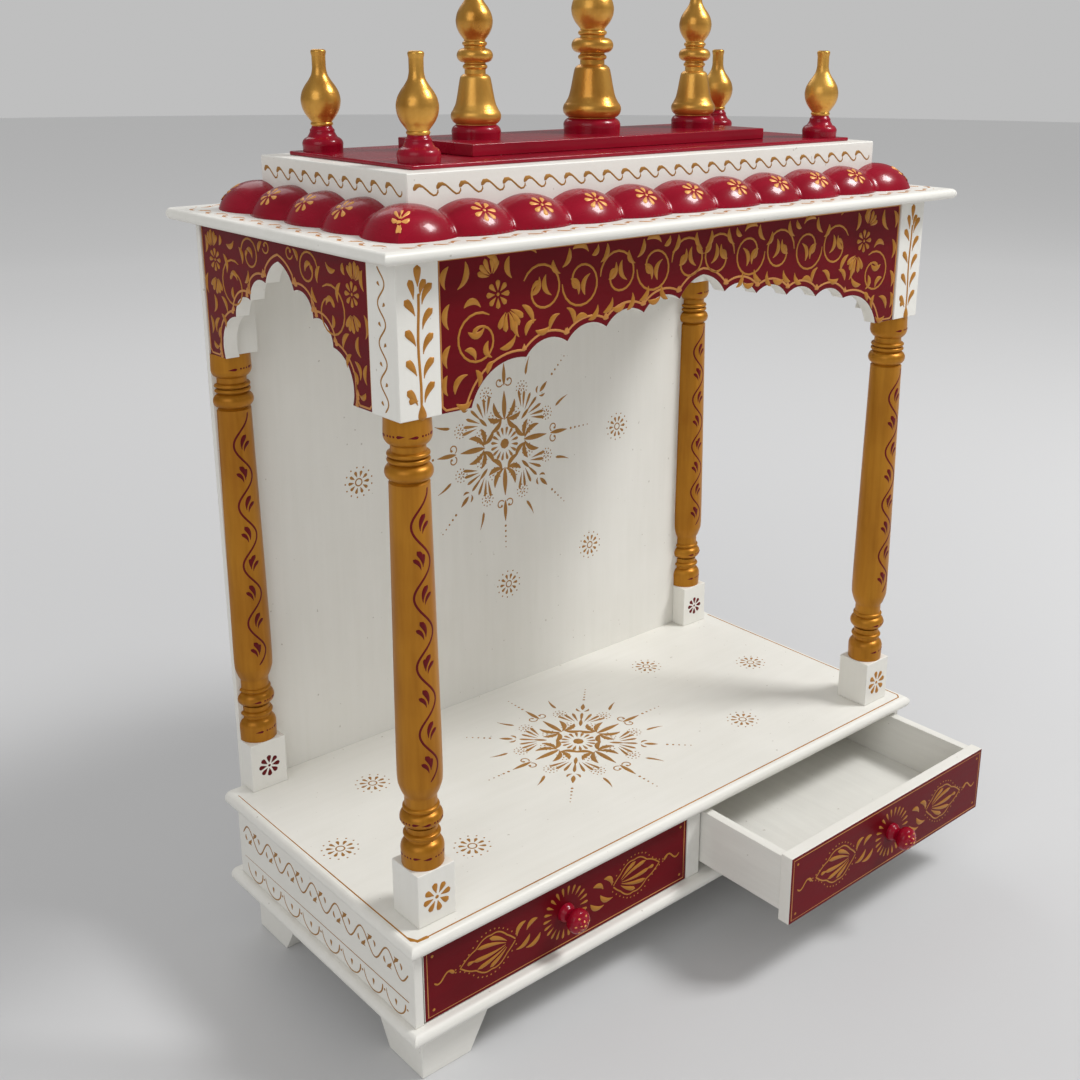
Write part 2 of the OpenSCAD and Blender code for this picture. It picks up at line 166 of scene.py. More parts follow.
class BrushedCoat:
    """The shader group that every hand-painted surface shares: streaks, blotches and peel."""

    NAME = "brushed_coat"

    @classmethod
    def group(cls) -> bpy.types.NodeTree:
        """Builds the group once.

        Returns:
            The node group. Tone is 0 to 1 over the surface, Speck marks stray specks, and
            Height is for a bump.
        """
        if cls.NAME in bpy.data.node_groups:
            return bpy.data.node_groups[cls.NAME]
        group = bpy.data.node_groups.new(cls.NAME, "ShaderNodeTree")
        for name, kind in (("Streaks", "NodeSocketVector"), ("Streak Size", "NodeSocketFloat"),
                           ("Peel Size", "NodeSocketFloat")):
            group.interface.new_socket(name, in_out="INPUT", socket_type=kind)
        for name in ("Tone", "Speck", "Height"):
            group.interface.new_socket(name, in_out="OUTPUT", socket_type="NodeSocketFloat")
        tree = Tree(group)
        given, out = tree.add("NodeGroupInput"), tree.add("NodeGroupOutput")
        place = tree.add("ShaderNodeTexCoord").outputs["Object"]
        stretch = tree.add("ShaderNodeVectorMath", operation="MULTIPLY")
        tree.join(place, stretch.inputs[0])
        tree.join(given.outputs["Streaks"], stretch.inputs[1])
        streak = tree.noise(stretch.outputs[0], given.outputs["Streak Size"], 5)
        peel = tree.noise(place, given.outputs["Peel Size"], 2)
        blotch = tree.noise(place, 14, 4)
        tone = tree.maths("ADD", tree.ramp(streak, 0.3, 0.7, 0, 0.5), tree.ramp(blotch, 0.35, 0.65, 0, 0.5))
        tree.join(tone, out.inputs["Tone"])
        tree.join(tree.ramp(tree.noise(place, 240, 1), 0.775, 0.80), out.inputs["Speck"])
        lumps = tree.maths("ADD", tree.maths("MULTIPLY", streak, 0.6), tree.maths("MULTIPLY", peel, 0.5))
        tree.join(lumps, out.inputs["Height"])
        return group


@dataclass(frozen=True)
class Paint:
    """A hand-brushed paint.

    Attributes:
        name: the material's name.
        light: its colour where it lies thick.
        deep: its colour where it is thin or shaded.
        speck: the colour of stray specks in it.
        roughness: the least and the most roughness.
        metallic: how metallic it is.
        coat: how much clear varnish lies over it.
        sheen: how strongly its bare surface mirrors light, where 0.5 is plain varnish.
        relief: the height of its streaks, in mm.
        streak_size: how many streaks there are to a metre.
        peel_size: how many lumps of orange peel there are to a metre.
        speck_share: how strongly specks show.
    """

    name: str
    light: Colour
    deep: Colour
    speck: Colour
    roughness: tuple[float, float]
    metallic: float = 0.0
    coat: float = 0.0
    sheen: float = 0.4
    relief: float = 0.15
    streak_size: float = 160.0
    peel_size: float = 500.0
    speck_share: float = 0.0

    def material(self, grain: Grain = Grain.ACROSS) -> Material:
        """Makes the material, or finds it if it is made already.

        Args:
            grain: the way the brush was drawn.
        Returns:
            The material.
        """
        name = f"{self.name}_{grain.name.lower()}"
        if name in bpy.data.materials:
            return bpy.data.materials[name]
        made = bpy.data.materials.new(name)
        made.use_nodes = True
        tree = Tree(made.node_tree)
        shader = made.node_tree.nodes["Principled BSDF"]
        shader.inputs["Metallic"].default_value = self.metallic
        shader.inputs["Coat Weight"].default_value = self.coat
        shader.inputs["Specular IOR Level"].default_value = self.sheen
        shader.inputs["Coat Roughness"].default_value = 0.08
        coat = tree.add("ShaderNodeGroup", node_tree=BrushedCoat.group())
        coat.inputs["Streaks"].default_value = grain.value
        coat.inputs["Streak Size"].default_value = self.streak_size
        coat.inputs["Peel Size"].default_value = self.peel_size
        tint = tree.add("ShaderNodeMix", data_type="RGBA")
        tint.inputs[6].default_value = (*self.deep, 1)
        tint.inputs[7].default_value = (*self.light, 1)
        tree.join(coat.outputs["Tone"], tint.inputs[0])
        specks = tree.add("ShaderNodeMix", data_type="RGBA")
        specks.inputs[7].default_value = (*self.speck, 1)
        tree.join(tree.maths("MULTIPLY", coat.outputs["Speck"], self.speck_share), specks.inputs[0])
        tree.join(tint.outputs[2], specks.inputs[6])
        tree.join(specks.outputs[2], shader.inputs["Base Color"])
        tree.join(tree.ramp(coat.outputs["Tone"], 0, 1, *self.roughness), shader.inputs["Roughness"])
        bump = tree.add("ShaderNodeBump")
        bump.inputs["Distance"].default_value = self.relief * MM
        bump.inputs["Strength"].default_value = 1.0
        tree.join(coat.outputs["Height"], bump.inputs["Height"])
        tree.join(bump.outputs["Normal"], shader.inputs["Normal"])
        return made


WHITE = Paint("white_paint", (0.80, 0.785, 0.735), (0.755, 0.74, 0.685), (0.25, 0.20, 0.13), (0.36, 0.55),
              relief=0.08, speck_share=0.4)
INSIDE_WHITE = Paint("inside_white_paint", (0.78, 0.77, 0.72), (0.70, 0.685, 0.64), (0.30, 0.24, 0.18),
                     (0.5, 0.7), relief=0.25, speck_share=0.5)
MAROON = Paint("maroon_paint", (0.150, 0.0012, 0.0060), (0.110, 0.0008, 0.0040), (0.05, 0.001, 0.003),
               (0.30, 0.44), sheen=0.12, relief=0.10)
CRIMSON = Paint("crimson_gloss", (0.330, 0.0025, 0.0200), (0.215, 0.0012, 0.0110), (0.08, 0.001, 0.004),
                (0.20, 0.32), coat=0.22, sheen=0.2, relief=0.14, streak_size=90)
OCHRE = Paint("ochre_gold_paint", (0.500, 0.215, 0.016), (0.340, 0.125, 0.006), (0.15, 0.05, 0.004),
              (0.30, 0.44), metallic=0.45, sheen=0.3, relief=0.10, streak_size=220)
GILT = Paint("gilt_paint", (0.860, 0.490, 0.100), (0.460, 0.190, 0.022), (0.15, 0.05, 0.004), (0.26, 0.44),
             metallic=0.7, coat=0.1, relief=0.25, streak_size=70)
RAISED_GOLD = Paint("raised_gold_paint", (0.500, 0.225, 0.034), (0.370, 0.145, 0.016), (0.3, 0.1, 0.01),
                    (0.32, 0.5), metallic=0.2, sheen=0.3, relief=0.05)
PALE_GOLD = Paint("pale_gold_line", (0.600, 0.275, 0.080), (0.460, 0.190, 0.045), (0.3, 0.1, 0.01),
                  (0.32, 0.5), metallic=0.2, sheen=0.3, relief=0.05)
BRONZE_GOLD = Paint("bronze_gold_paint", (0.420, 0.205, 0.045), (0.310, 0.140, 0.024), (0.3, 0.1, 0.01),
                    (0.35, 0.55), metallic=0.15, sheen=0.3, relief=0.05)
VINE_RED = Paint("vine_red_paint", (0.150, 0.0012, 0.0050), (0.100, 0.0008, 0.0030), (0.05, 0.001, 0.003),
                 (0.3, 0.45), sheen=0.2, relief=0.05)
PEACH_GOLD = Paint("peach_gold_paint", (0.800, 0.400, 0.110), (0.660, 0.290, 0.065), (0.3, 0.1, 0.01),
                   (0.32, 0.5), metallic=0.1, sheen=0.3, relief=0.05)


# ---------------------------------------------------------------- pieces


@dataclass(frozen=True)
class Space:
    """A node's box in mm."""

    low: Vector
    high: Vector

    @classmethod
    def of(cls, node: str) -> "Space":
        """The box of a CAD node."""
        low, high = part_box(node)
        return cls(low / MM, high / MM)

    @property
    def middle(self) -> Vector:
        """The box's middle."""
        return (self.low + self.high) / 2

    @property
    def size(self) -> Vector:
        """The box's size."""
        return self.high - self.low


def finish_piece(bm: bmesh.types.BMesh, name: str, body: str, materials: list[Material],
                 smooth_below: float = 35) -> bpy.types.Object:
    """Makes a piece of the temple from a finished mesh.

    Args:
        bm: the mesh in metres, in the frame; it is freed.
        name: the piece's name.
        body: the CAD body that it rides on.
        materials: its materials, by face index.
        smooth_below: edges flatter than this many degrees are shaded smooth.
    Returns:
        The new object.
    """
    mesh = bpy.data.meshes.new(name)
    bm.to_mesh(mesh)
    bm.free()
    mesh.shade_smooth()
    mesh.set_sharp_from_angle(angle=math.radians(smooth_below))
    piece = bpy.data.objects.new(name, mesh)
    bpy.context.scene.collection.objects.link(piece)
    for material in materials:
        mesh.materials.append(material)
    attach(piece, body)
    LOG.info("%s: %d faces on %s", name, len(mesh.polygons), body)
    return piece


def solid_copy(node: str, whole_faces: bool = True) -> bmesh.types.BMesh:
    """A merged copy of a CAD node's mesh.

    Args:
        node: the CAD node.
        whole_faces: whether its flat faces are made whole.
    Returns:
        The mesh, in metres.
    """
    bm = bmesh.new()
    bm.from_mesh(bpy.data.objects[node].data)
    bmesh.ops.remove_doubles(bm, verts=bm.verts, dist=MERGE * MM)
    if whole_faces:
        bmesh.ops.dissolve_limit(bm, angle_limit=math.radians(0.4), verts=bm.verts, edges=bm.edges,
                                 delimit={"NORMAL"})
    return bm


def eased_board(node: str, body: str, finish: Material, ease: float = 0.8,
                face_finish: Material | None = None,
                faces: Callable[[bmesh.types.BMFace], bool] | None = None) -> bpy.types.Object:
    """A board in place of a CAD node, with its sharp edges eased as sanding leaves them.

    Args:
        node: the CAD node that it stands for.
        body: the body that it rides on.
        finish: the board's own paint.
        ease: the width of the eased edge, in mm.
        face_finish: the paint of some faces.
        faces: picks those faces.
    Returns:
        The board.
    """
    bm = solid_copy(node)
    if faces:
        for face in bm.faces:
            face.material_index = int(faces(face))
    sharp = [edge for edge in bm.edges if edge.is_manifold and edge.calc_face_angle(0) > math.radians(30)]
    bmesh.ops.bevel(bm, geom=sharp, affect="EDGES", offset=ease * MM, offset_type="OFFSET", segments=2,
                    profile=0.5, material=-1, clamp_overlap=True)
    board = finish_piece(bm, f"{node}_board", body, [finish] + ([face_finish] if face_finish else []))
    board.modifiers.new("even_shade", "WEIGHTED_NORMAL").keep_sharp = True
    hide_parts(node)
    return board


@dataclass
class Profile:
    """A turned outline in mm: at each height it is as wide as its widest part."""

    parts: list[tuple[float, float, Callable[[float], float]]] = field(default_factory=list)

    def bead(self, reach: float, height: float, radius: float) -> "Profile":
        """Adds a bead: its outermost point is reach from the axis, at a height."""
        def width(z: float) -> float:
            return reach - radius + math.sqrt(max(radius ** 2 - (z - height) ** 2, 0))
        self.parts.append((height - radius, height + radius, width))
        return self

    def curve(self, *points: tuple[float, float]) -> "Profile":
        """Adds a smooth stretch through (height, reach) points, flat at a turning point."""
        heights, reaches = [p[0] for p in points], [p[1] for p in points]
        rises = [(b - a) / (d - c) for a, b, c, d in zip(reaches, reaches[1:], heights, heights[1:])]
        slopes = [rises[0]] + [0 if a * b <= 0 else 2 * a * b / (a + b) for a,
                               b in zip(rises, rises[1:])] + [rises[-1]]

        def width(z: float) -> float:
            i = max(k for k in range(len(points) - 1) if heights[k] <= z + 1e-9)
            h = heights[i + 1] - heights[i]
            t = min(max((z - heights[i]) / h, 0), 1)
            return ((1 + 2 * t) * (1 - t) ** 2 * reaches[i] + t * (1 - t) ** 2 * h * slopes[i]
                    + t * t * (3 - 2 * t) * reaches[i + 1] + t * t * (t - 1) * h * slopes[i + 1])
        self.parts.append((heights[0], heights[-1], width))
        return self

    def taper(self, low: float, high: float, bottom: float, top: float | None = None) -> "Profile":
        """Adds a straight stretch between two heights."""
        return self.curve((low, bottom), (high, bottom if top is None else top))

    def reach(self, height: float) -> float:
        """How far the outline stands from the axis at a height."""
        return max((width(height) for low, high,
                    width in self.parts if low - 1e-9 <= height <= high + 1e-9), default=0.0)

    def outline(self, low: float, high: float, step: float = 0.4,
                slack: float = 0.03) -> list[tuple[float, float]]:
        """The outline as (reach, height) points, without those that it doesn't need.

        Args:
            low: where it starts.
            high: where it ends.
            step: the distance between trial points.
            slack: how far a straight stretch may miss the curve.
        Returns:
            The points.
        """
        count = round((high - low) / step)
        trial = [low + (high - low) * i / count for i in range(count + 1)]
        points = [(self.reach(z), z) for z in trial]

        def thin(first: int, last: int) -> list[int]:
            (r0, z0), (r1, z1) = points[first], points[last]
            worst, miss = 0, slack
            for k in range(first + 1, last):
                line = r0 + (r1 - r0) * (points[k][1] - z0) / (z1 - z0)
                if abs(points[k][0] - line) > miss:
                    worst, miss = k, abs(points[k][0] - line)
            return thin(first, worst) + thin(worst, last) if worst else [first]
        return [points[k] for k in thin(0, count) + [count]]

    def spin(self, low: float, high: float, steps: int = 48) -> bmesh.types.BMesh:
        """Spins the outline about Z into a closed mesh, in metres, standing at its own heights."""
        bm = bmesh.new()
        rim = [(0.0, low), *self.outline(low, high), (0.0, high)]
        verts = [bm.verts.new((r * MM, 0, z * MM)) for r, z in rim]
        edges = [bm.edges.new(pair) for pair in zip(verts, verts[1:])]
        bmesh.ops.spin(bm, geom=verts + edges, cent=(0, 0, 0), axis=(0, 0, 1), angle=math.tau, steps=steps,
                       use_merge=True)
        bmesh.ops.remove_doubles(bm, verts=bm.verts, dist=MERGE * MM)
        bmesh.ops.recalc_face_normals(bm, faces=bm.faces)
        return bm


# ---------------------------------------------------------------- drawing


class Ground(Protocol):
    """A surface that a pattern is painted on."""

    def place(self, u: float, v: float, w: float) -> Vector:
        """The point u along, v up and w off the surface, all in mm."""


@dataclass(frozen=True)
class Face:
    """A flat ground. Seen from outside, across runs right and up runs up."""

    origin: Vector
    across: Vector
    up: Vector

    def place(self, u: float, v: float, w: float) -> Vector:
        """The point u along, v up and w off the face."""
        return self.origin + self.across * u + self.up * v + self.across.cross(self.up) * w

    def read(self, point: Vector) -> complex:
        """Where a point in mm lies on the face."""
        return complex((point - self.origin).dot(self.across), (point - self.origin).dot(self.up))


@dataclass(frozen=True)
class Turned:
    """A turned ground: u runs round it from the facing angle, and v up its axis."""

    foot: Vector
    profile: Profile
    facing: float

    def place(self, u: float, v: float, w: float) -> Vector:
        """The point u round, v up and w off the turning."""
        reach = self.profile.reach(v)
        angle = self.facing + u / max(reach, 1)
        out = Vector((math.cos(angle), math.sin(angle), 0))
        return self.foot + out * (reach + w) + Vector((0, 0, v))


@dataclass(frozen=True)
class Lobe:
    """A petal's ground: u runs along the strip from the petal's middle, v round its swell.

    Attributes:
        middle: the point on the swell's axis at the petal's middle.
        along: the strip's direction.
        out: the way the strip faces.
        radius: the swell's radius at the petal's middle.
        bulge: the radius of the swell's own curve along the strip.
        lift: how far round the swell the pattern's middle lies, from level.
        mitred: whether the strip turns a corner here, to the left of the middle.
    """

    middle: Vector
    along: Vector
    out: Vector
    radius: float
    bulge: float
    lift: float
    mitred: bool = False

    def place(self, u: float, v: float, w: float) -> Vector:
        """The point u along, v up and w off the petal."""
        along, out, run = self.along, self.out, u
        angle = self.lift + v / self.radius
        if self.mitred:
            run = abs(u) - self.radius * math.cos(angle)
            if u < 0:
                along, out = -self.out, -self.along
        reach = self.radius - self.bulge + math.sqrt(self.bulge ** 2 - run ** 2) + w
        return self.middle + along * run + out * (reach * math.cos(angle)) + Z * (reach * math.sin(angle))


@dataclass(frozen=True)
class TurnedEnd:
    """The end of a turning that lies along -Y: u runs right and v up, from its axis.

    Attributes:
        foot: where the turning's axis starts.
        profile: its outline.
        length: how long it is.
        low: the share of its length at which its end starts.
        steps: how many heights are tried along it.
    """

    foot: Vector
    profile: Profile
    length: float
    low: float = 0.6
    steps: int = 40

    def place(self, u: float, v: float, w: float) -> Vector:
        """The point u right, v up and w off the end."""
        heights = [i / self.steps * self.length for i in range(round(self.low * self.steps), self.steps + 1)]
        wide = [z for z in heights if self.profile.reach(z) >= math.hypot(u, v)]
        return self.foot + Vector((u, -max(wide, default=self.low * self.length) - w - 0.1, v))


def turn(degrees: float) -> complex:
    """The unit direction at an angle from +X."""
    return complex(math.cos(math.radians(degrees)), math.sin(math.radians(degrees)))


@dataclass
class Pattern:
    """Brush strokes in mm. A point is a complex number: right is real and up is imaginary."""

    strokes: list[tuple[list[complex], list[float]]] = field(default_factory=list)

    def line(self, points: list[complex], width: float, knot: float = 1.0) -> None:
        """Adds a line of even width with round ends.

        Args:
            points: its course.
            width: its width.
            knot: how much wider its last end is.
        """
        radii = [width / 2] * len(points)
        radii[0] *= 0.5
        ends = list(points)
        if knot > 1:
            radii[-3:] = [width / 2 * (1 + knot) / 2, width / 2 * knot, width / 2 * knot * 0.8]
        along = ends[-1] - ends[-2]
        ends.append(ends[-1] + along / max(abs(along), 1e-6) * radii[-1] * 0.8)
        radii.append(radii[-1] * 0.35)
        self.strokes.append((ends, radii))

    def brush(self, start: complex, end: complex, width: float, bend: float, widest: float) -> None:
        """Adds one tapered stroke.

        Args:
            start: where it begins.
            end: where it ends.
            width: its greatest width.
            bend: how far it bows to the left of its course, as a share of its length.
            widest: the share of its length at which it is widest.
        """
        power = math.log(0.5) / math.log(widest)
        middle = (start + end) / 2 + (end - start) * 1j * bend * 2
        points, radii = [], []
        for i in range(9):
            t = i / 8
            points.append((1 - t) ** 2 * start + 2 * t * (1 - t) * middle + t * t * end)
            radii.append(max(width / 2 * math.sin(math.pi * t ** power) ** 0.85, 0.12 * width / 2))
        self.strokes.append((points, radii))

    def drop(self, head: complex, tail: complex, width: float, bend: float = 0.0) -> None:
        """Adds a teardrop with a fat head."""
        self.brush(head, tail, width, bend, 0.24)

    def leaf(self, start: complex, end: complex, width: float, bend: float = 0.2) -> None:
        """Adds a bowed leaf, pointed at both ends."""
        self.brush(start, end, width, bend, 0.45)

    def dot(self, centre: complex, radius: float) -> None:
        """Adds a dot."""
        steps = (-1.0, -0.7, 0.0, 0.7, 1.0)
        self.strokes.append(([centre + s * radius for s in steps],
                             [max(radius * math.sqrt(1 - s * s), 0.1 * radius) for s in steps]))

    def curl(self, centre: complex, start: float, reach: float, turns: float, width: float,
             knot: float = 2.2) -> None:
        """Adds a vine that winds in to a knot.

        Args:
            centre: the middle of the curl.
            start: the angle it starts at, in degrees.
            reach: how far from the middle it starts.
            turns: how many turns it makes, counted anticlockwise.
            width: the vine's width.
            knot: how much wider its end is.
        """
        count = max(int(abs(turns) * 20), 8)
        points = []
        for i in range(count + 1):
            t = i / count
            points.append(centre + turn(start + 360 * turns * t) * reach * (1 - 0.66 * t ** 1.8))
        self.line(points, width, knot)

    def ring(self, count: int, inner: float, outer: float, width: float, start: float = 0.0) -> None:
        """Adds a ring of drops whose fat heads point out."""
        for i in range(count):
            way = turn(start + 360 * i / count)
            self.drop(way * outer, way * inner, width)

    def dots(self, count: int, reach: float, radius: float, start: float = 0.0) -> None:
        """Adds a ring of dots."""
        for i in range(count):
            self.dot(turn(start + 360 * i / count) * reach, radius)

    def add(self, other: "Pattern", place: complex = 0j, spin: float = 0.0, size: float = 1.0,
            flip: bool = False) -> None:
        """Adds another pattern.

        Args:
            other: the pattern to add.
            place: where its origin goes.
            spin: how far it is turned, in degrees.
            size: how much larger it is.
            flip: whether it is mirrored from left to right first.
        """
        for points, radii in other.strokes:
            moved = [place + turn(spin) * size * (complex(-p.real, p.imag) if flip else p) for p in points]
            self.strokes.append((moved, [r * size for r in radii]))

    def mirrored(self) -> "Pattern":
        """The pattern and its mirror image about the up axis."""
        both = Pattern(list(self.strokes))
        both.add(self, flip=True)
        return both

    def paint(self, name: str, ground: Ground, body: str, slot: str, material: Material,
              rise: float) -> bpy.types.Object:
        """Lays the strokes on a ground as raised paint.

        Args:
            name: the piece's name.
            ground: the surface that they lie on.
            body: the body that the piece rides on.
            slot: a material slot's name; it is not used.
            material: the paint.
            rise: how high a stroke stands, as a share of half its width.
        Returns:
            The piece.
        """
        curve = bpy.data.curves.new(name, "CURVE")
        curve.dimensions = "3D"
        curve.bevel_depth = MM
        curve.bevel_resolution = 1
        curve.use_fill_caps = True
        for points, radii in self.strokes:
            spline = curve.splines.new("POLY")
            spline.points.add(len(points) - 1)
            spline.points.foreach_set("co", [c for p in points for c in (p.real * MM, p.imag * MM, 0, 1)])
            spline.points.foreach_set("radius", radii)
        drawn = bpy.data.objects.new(name + "_curve", curve)
        bpy.context.scene.collection.objects.link(drawn)
        mesh = bpy.data.meshes.new_from_object(drawn.evaluated_get(bpy.context.evaluated_depsgraph_get()))
        bpy.data.objects.remove(drawn)
        bpy.data.curves.remove(curve)
        bm = bmesh.new()
        bm.from_mesh(mesh)
        bpy.data.meshes.remove(mesh)
        for vert in bm.verts:
            u, v, w = vert.co / MM
            vert.co = ground.place(u, v, max(w * rise, -0.15)) * MM
        bmesh.ops.recalc_face_normals(bm, faces=bm.faces)
        return finish_piece(bm, name, body, [material], 50)


def rosette(reach: float = 6.4) -> Pattern:
    """A small ring of dots round five seeds."""
    made = Pattern()
    made.dots(11, reach, 0.75)
    made.ring(6, reach * 0.16, reach * 0.60, 1.5, 20)
    return made


def small_flower(reach: float = 13.0) -> Pattern:
    """An open circle with ten drops and a ring of dots."""
    made = Pattern()
    made.line([turn(a) * reach * 0.24 for a in range(0, 361, 24)], 1.3)
    made.ring(10, reach * 0.36, reach * 0.78, 2.9)
    made.dots(13, reach, 0.85, 12)
    return made


def palmette(reach: float, width: float, pairs: int) -> Pattern:
    """A spray of leaves that opens upwards from the origin: one straight leaf between bowed pairs."""
    made = Pattern()
    made.leaf(0.12j * reach, 1j * reach, width, 0.0)
    for i in range(1, pairs + 1):
        way = turn(90 - 25 * i - 4 * i * i)
        for side in (-1, 1):
            tip = complex(side * way.real, way.imag) * reach * (0.92 - 0.13 * i)
            root = complex(side * 0.035 * reach * i, (0.13 + 0.02 * i) * reach)
            made.leaf(tip, root, width * 0.9, 0.16 * side)
    return made


def fern(reach: float, width: float) -> Pattern:
    """A fan of seven slim drops whose tails meet at the origin."""
    made = Pattern()
    for i in range(-3, 4):
        way = turn(90 - 17 * i)
        root = 0.12 * i * reach + abs(i) * 0.05j * reach
        made.drop(root + way * reach * (1 - 0.07 * abs(i)), root * 0.5 + way * reach * 0.25, width)
    return made


def mandala(reach: float = 108.0) -> Pattern:
    """The large round figure of the deck and of the back panel."""
    made = Pattern()
    unit = reach / 108
    made.dot(0j, 5.2 * unit)
    made.ring(16, 8.5 * unit, 17 * unit, 3.0 * unit, 11.25)
    for k in range(8):
        ray = Pattern()
        if k % 2 == 0:
            ray.add(palmette(33 * unit, 5.6 * unit, 3), 20j * unit)
            ray.curl((5.5 + 62j) * unit, -150, 4.6 * unit, 0.8, 1.3 * unit)
            ray.curl((-5.5 + 62j) * unit, -30, 4.6 * unit, -0.8, 1.3 * unit)
            ray.leaf(58j * unit, 80j * unit, 4.4 * unit, 0.0)
        else:
            ray.add(fern(24 * unit, 3.1 * unit), 33j * unit)
            ray.leaf(30j * unit, 44j * unit, 3.6 * unit, 0.0)
            for side in (-1, 1):
                ray.leaf(complex(side * 6, 66) * unit, complex(side * 1.5, 60) * unit, 2.4 * unit, 0.2 * side)
            ray.leaf(63j * unit, 76j * unit, 4.2 * unit, 0.0)
        for i in range(5):
            ray.dot((85 + 5.6 * i) * 1j * unit, (1.35 - 0.16 * i) * unit)
        made.add(ray, spin=45 * k)
        made.add(rosette(6.6 * unit), turn(22.5 + 45 * k) * 31 * unit)
        made.add(rosette(6.6 * unit), turn(22.5 + 45 * k) * 57 * unit)
        made.drop(turn(22.5 + 45 * k) * 70 * unit, turn(24 + 45 * k) * 88 * unit, 3.0 * unit, 0.05)
    return made


def painted_flower(count: int, reach: float, width: float, seed: float = 0.0) -> Pattern:
    """A plain flower of drops round a dot."""
    made = Pattern()
    made.ring(count, reach * 0.28, reach, width, 90 + seed)
    made.dot(0j, reach * 0.13)
    return made


def buds(count: int, reach: float, width: float, spread: float) -> Pattern:
    """Buds on stalks that fan out upwards from the origin."""
    made = Pattern()
    for i in range(count):
        lean = (i / (count - 1) - 0.5) * spread
        way = turn(90 - lean)
        made.drop(way * reach * (1 - 0.15 * abs(lean) / 60), way * reach * 0.2, width,
                  0.06 * (1 if lean > 0 else -1))
    return made


# ---------------------------------------------------------------- sub-assemblies


@dataclass
class Base:
    """The feet, the plinth, the drawer cabinet and the deck."""

    line_inset: float = 7.0
    mandala_reach: float = 107.0
    flower_reach: float = 15.0
    body: str = "temple"

    def build(self) -> None:
        """Builds the boards."""
        white = WHITE.material(Grain.ACROSS)
        for node in ("plinth", "deck"):
            eased_board(node, self.body, white, 0.6)
        for node in ("front_left_foot", "front_right_foot", "back_left_foot", "back_right_foot",
                     "cabinet_back_board"):
            eased_board(node, self.body, white)
        for node in ("cabinet_left_side", "cabinet_right_side"):
            eased_board(node, self.body, WHITE.material(Grain.DEEP))
        for node in ("cabinet_divider", "drawer_runners"):
            eased_board(node, self.body, INSIDE_WHITE.material(Grain.DEEP))

    def deck_ground(self) -> Face:
        """The deck's top, from its middle."""
        deck = Space.of("deck")
        return Face(Vector((deck.middle.x, deck.middle.y, deck.high.z)), X, Y)

    def dress(self) -> None:
        """Paints the deck's figure, flowers and line, and the vines of the cabinet sides."""
        deck = Space.of("deck")
        bronze = BRONZE_GOLD.material()
        ground = self.deck_ground()
        drawn = Pattern()
        drawn.add(mandala(self.mandala_reach), -10 + 8j, 90)
        for spot in (-198 + 72j, -274 + 3j, -190 - 65j, 140 - 65j, 241 + 15j, 150 + 81j):
            drawn.add(small_flower(self.flower_reach), spot)
        drawn.paint("deck_figures", ground, self.body, "white_paint", bronze, FLAT_RISE)
        half_x, half_y = deck.size.x / 2 - self.line_inset, deck.size.y / 2 - self.line_inset
        line = Pattern()
        cut = 4.0  # how much of each front corner the line cuts off
        left = [complex(-half_x, half_y - 6), complex(-half_x, cut - half_y), complex(cut - half_x, -half_y)]
        right = [complex(-p.real, p.imag) for p in reversed(left)]
        line.line(left + right, 1.5)
        line.line([complex(-half_x, 9 - half_y), complex(cut - half_x - 0.5, 0.5 - half_y),
                   complex(12 - half_x, -half_y)], 3.4)
        line.paint("deck_line", ground, self.body, "white_paint", RAISED_GOLD.material(), LINE_RISE)
        for hand in Hand:
            self.dress_side(hand)

    def dress_side(self, hand: Hand) -> None:
        """Paints a vine, a thin line and a garland on one side of the cabinet."""
        side = Space.of(f"cabinet_{hand.name.lower()}_side")
        x = side.low.x if hand is Hand.LEFT else side.high.x
        ground = Face(Vector((x, side.middle.y, side.low.z)), Y * hand.value, Z)
        half, height = side.size.y / 2, side.size.z
        drawn = Pattern()
        waves, middle, swing = 7, height * 0.66, 9.0
        length = 2 * half - 16
        course = [complex(-length / 2 + length * i / 112,
                          middle + swing * math.sin(math.tau * waves * i / 112)) for i in range(113)]
        drawn.line(course, 1.5)
        for i in range(2 * waves):
            top = i % 2 == 0
            root = complex(-length / 2 + length * (i + 0.5) / (2 * waves), middle)
            sprig = Pattern()
            sprig.leaf(2 + 3j, 9 + 9j, 3.4, -0.2)
            sprig.leaf(-1 + 3j, -3 + 10j, 3.2, 0.2)
            sprig.leaf(1 + 0j, 9 + 1j, 3.0, 0.2)
            drawn.add(sprig, root + (-2 - 8j if top else -2 + 8j), 0 if top else 180, 0.8)
        drawn.line([complex(-half + 8, height * 0.30), complex(half - 8, height * 0.30)], 1.1)
        loops = 8
        pitch = (2 * half - 20) / loops
        for i in range(loops):
            centre = complex(-half + 10 + pitch * (i + 0.5), height * 0.22)
            drawn.line([centre + turn(180 + a) * pitch * 0.42 for a in range(0, 181, 15)], 1.2, 1.6)
            drawn.drop(centre - 2j, centre - 8j, 3.0)
            drawn.dot(centre + complex(pitch / 2, -3), 1.1)
        drawn.paint(f"cabinet_{hand.name.lower()}_vine", ground, self.body, "white_paint",
                    BRONZE_GOLD.material(Grain.DEEP), LINE_RISE)


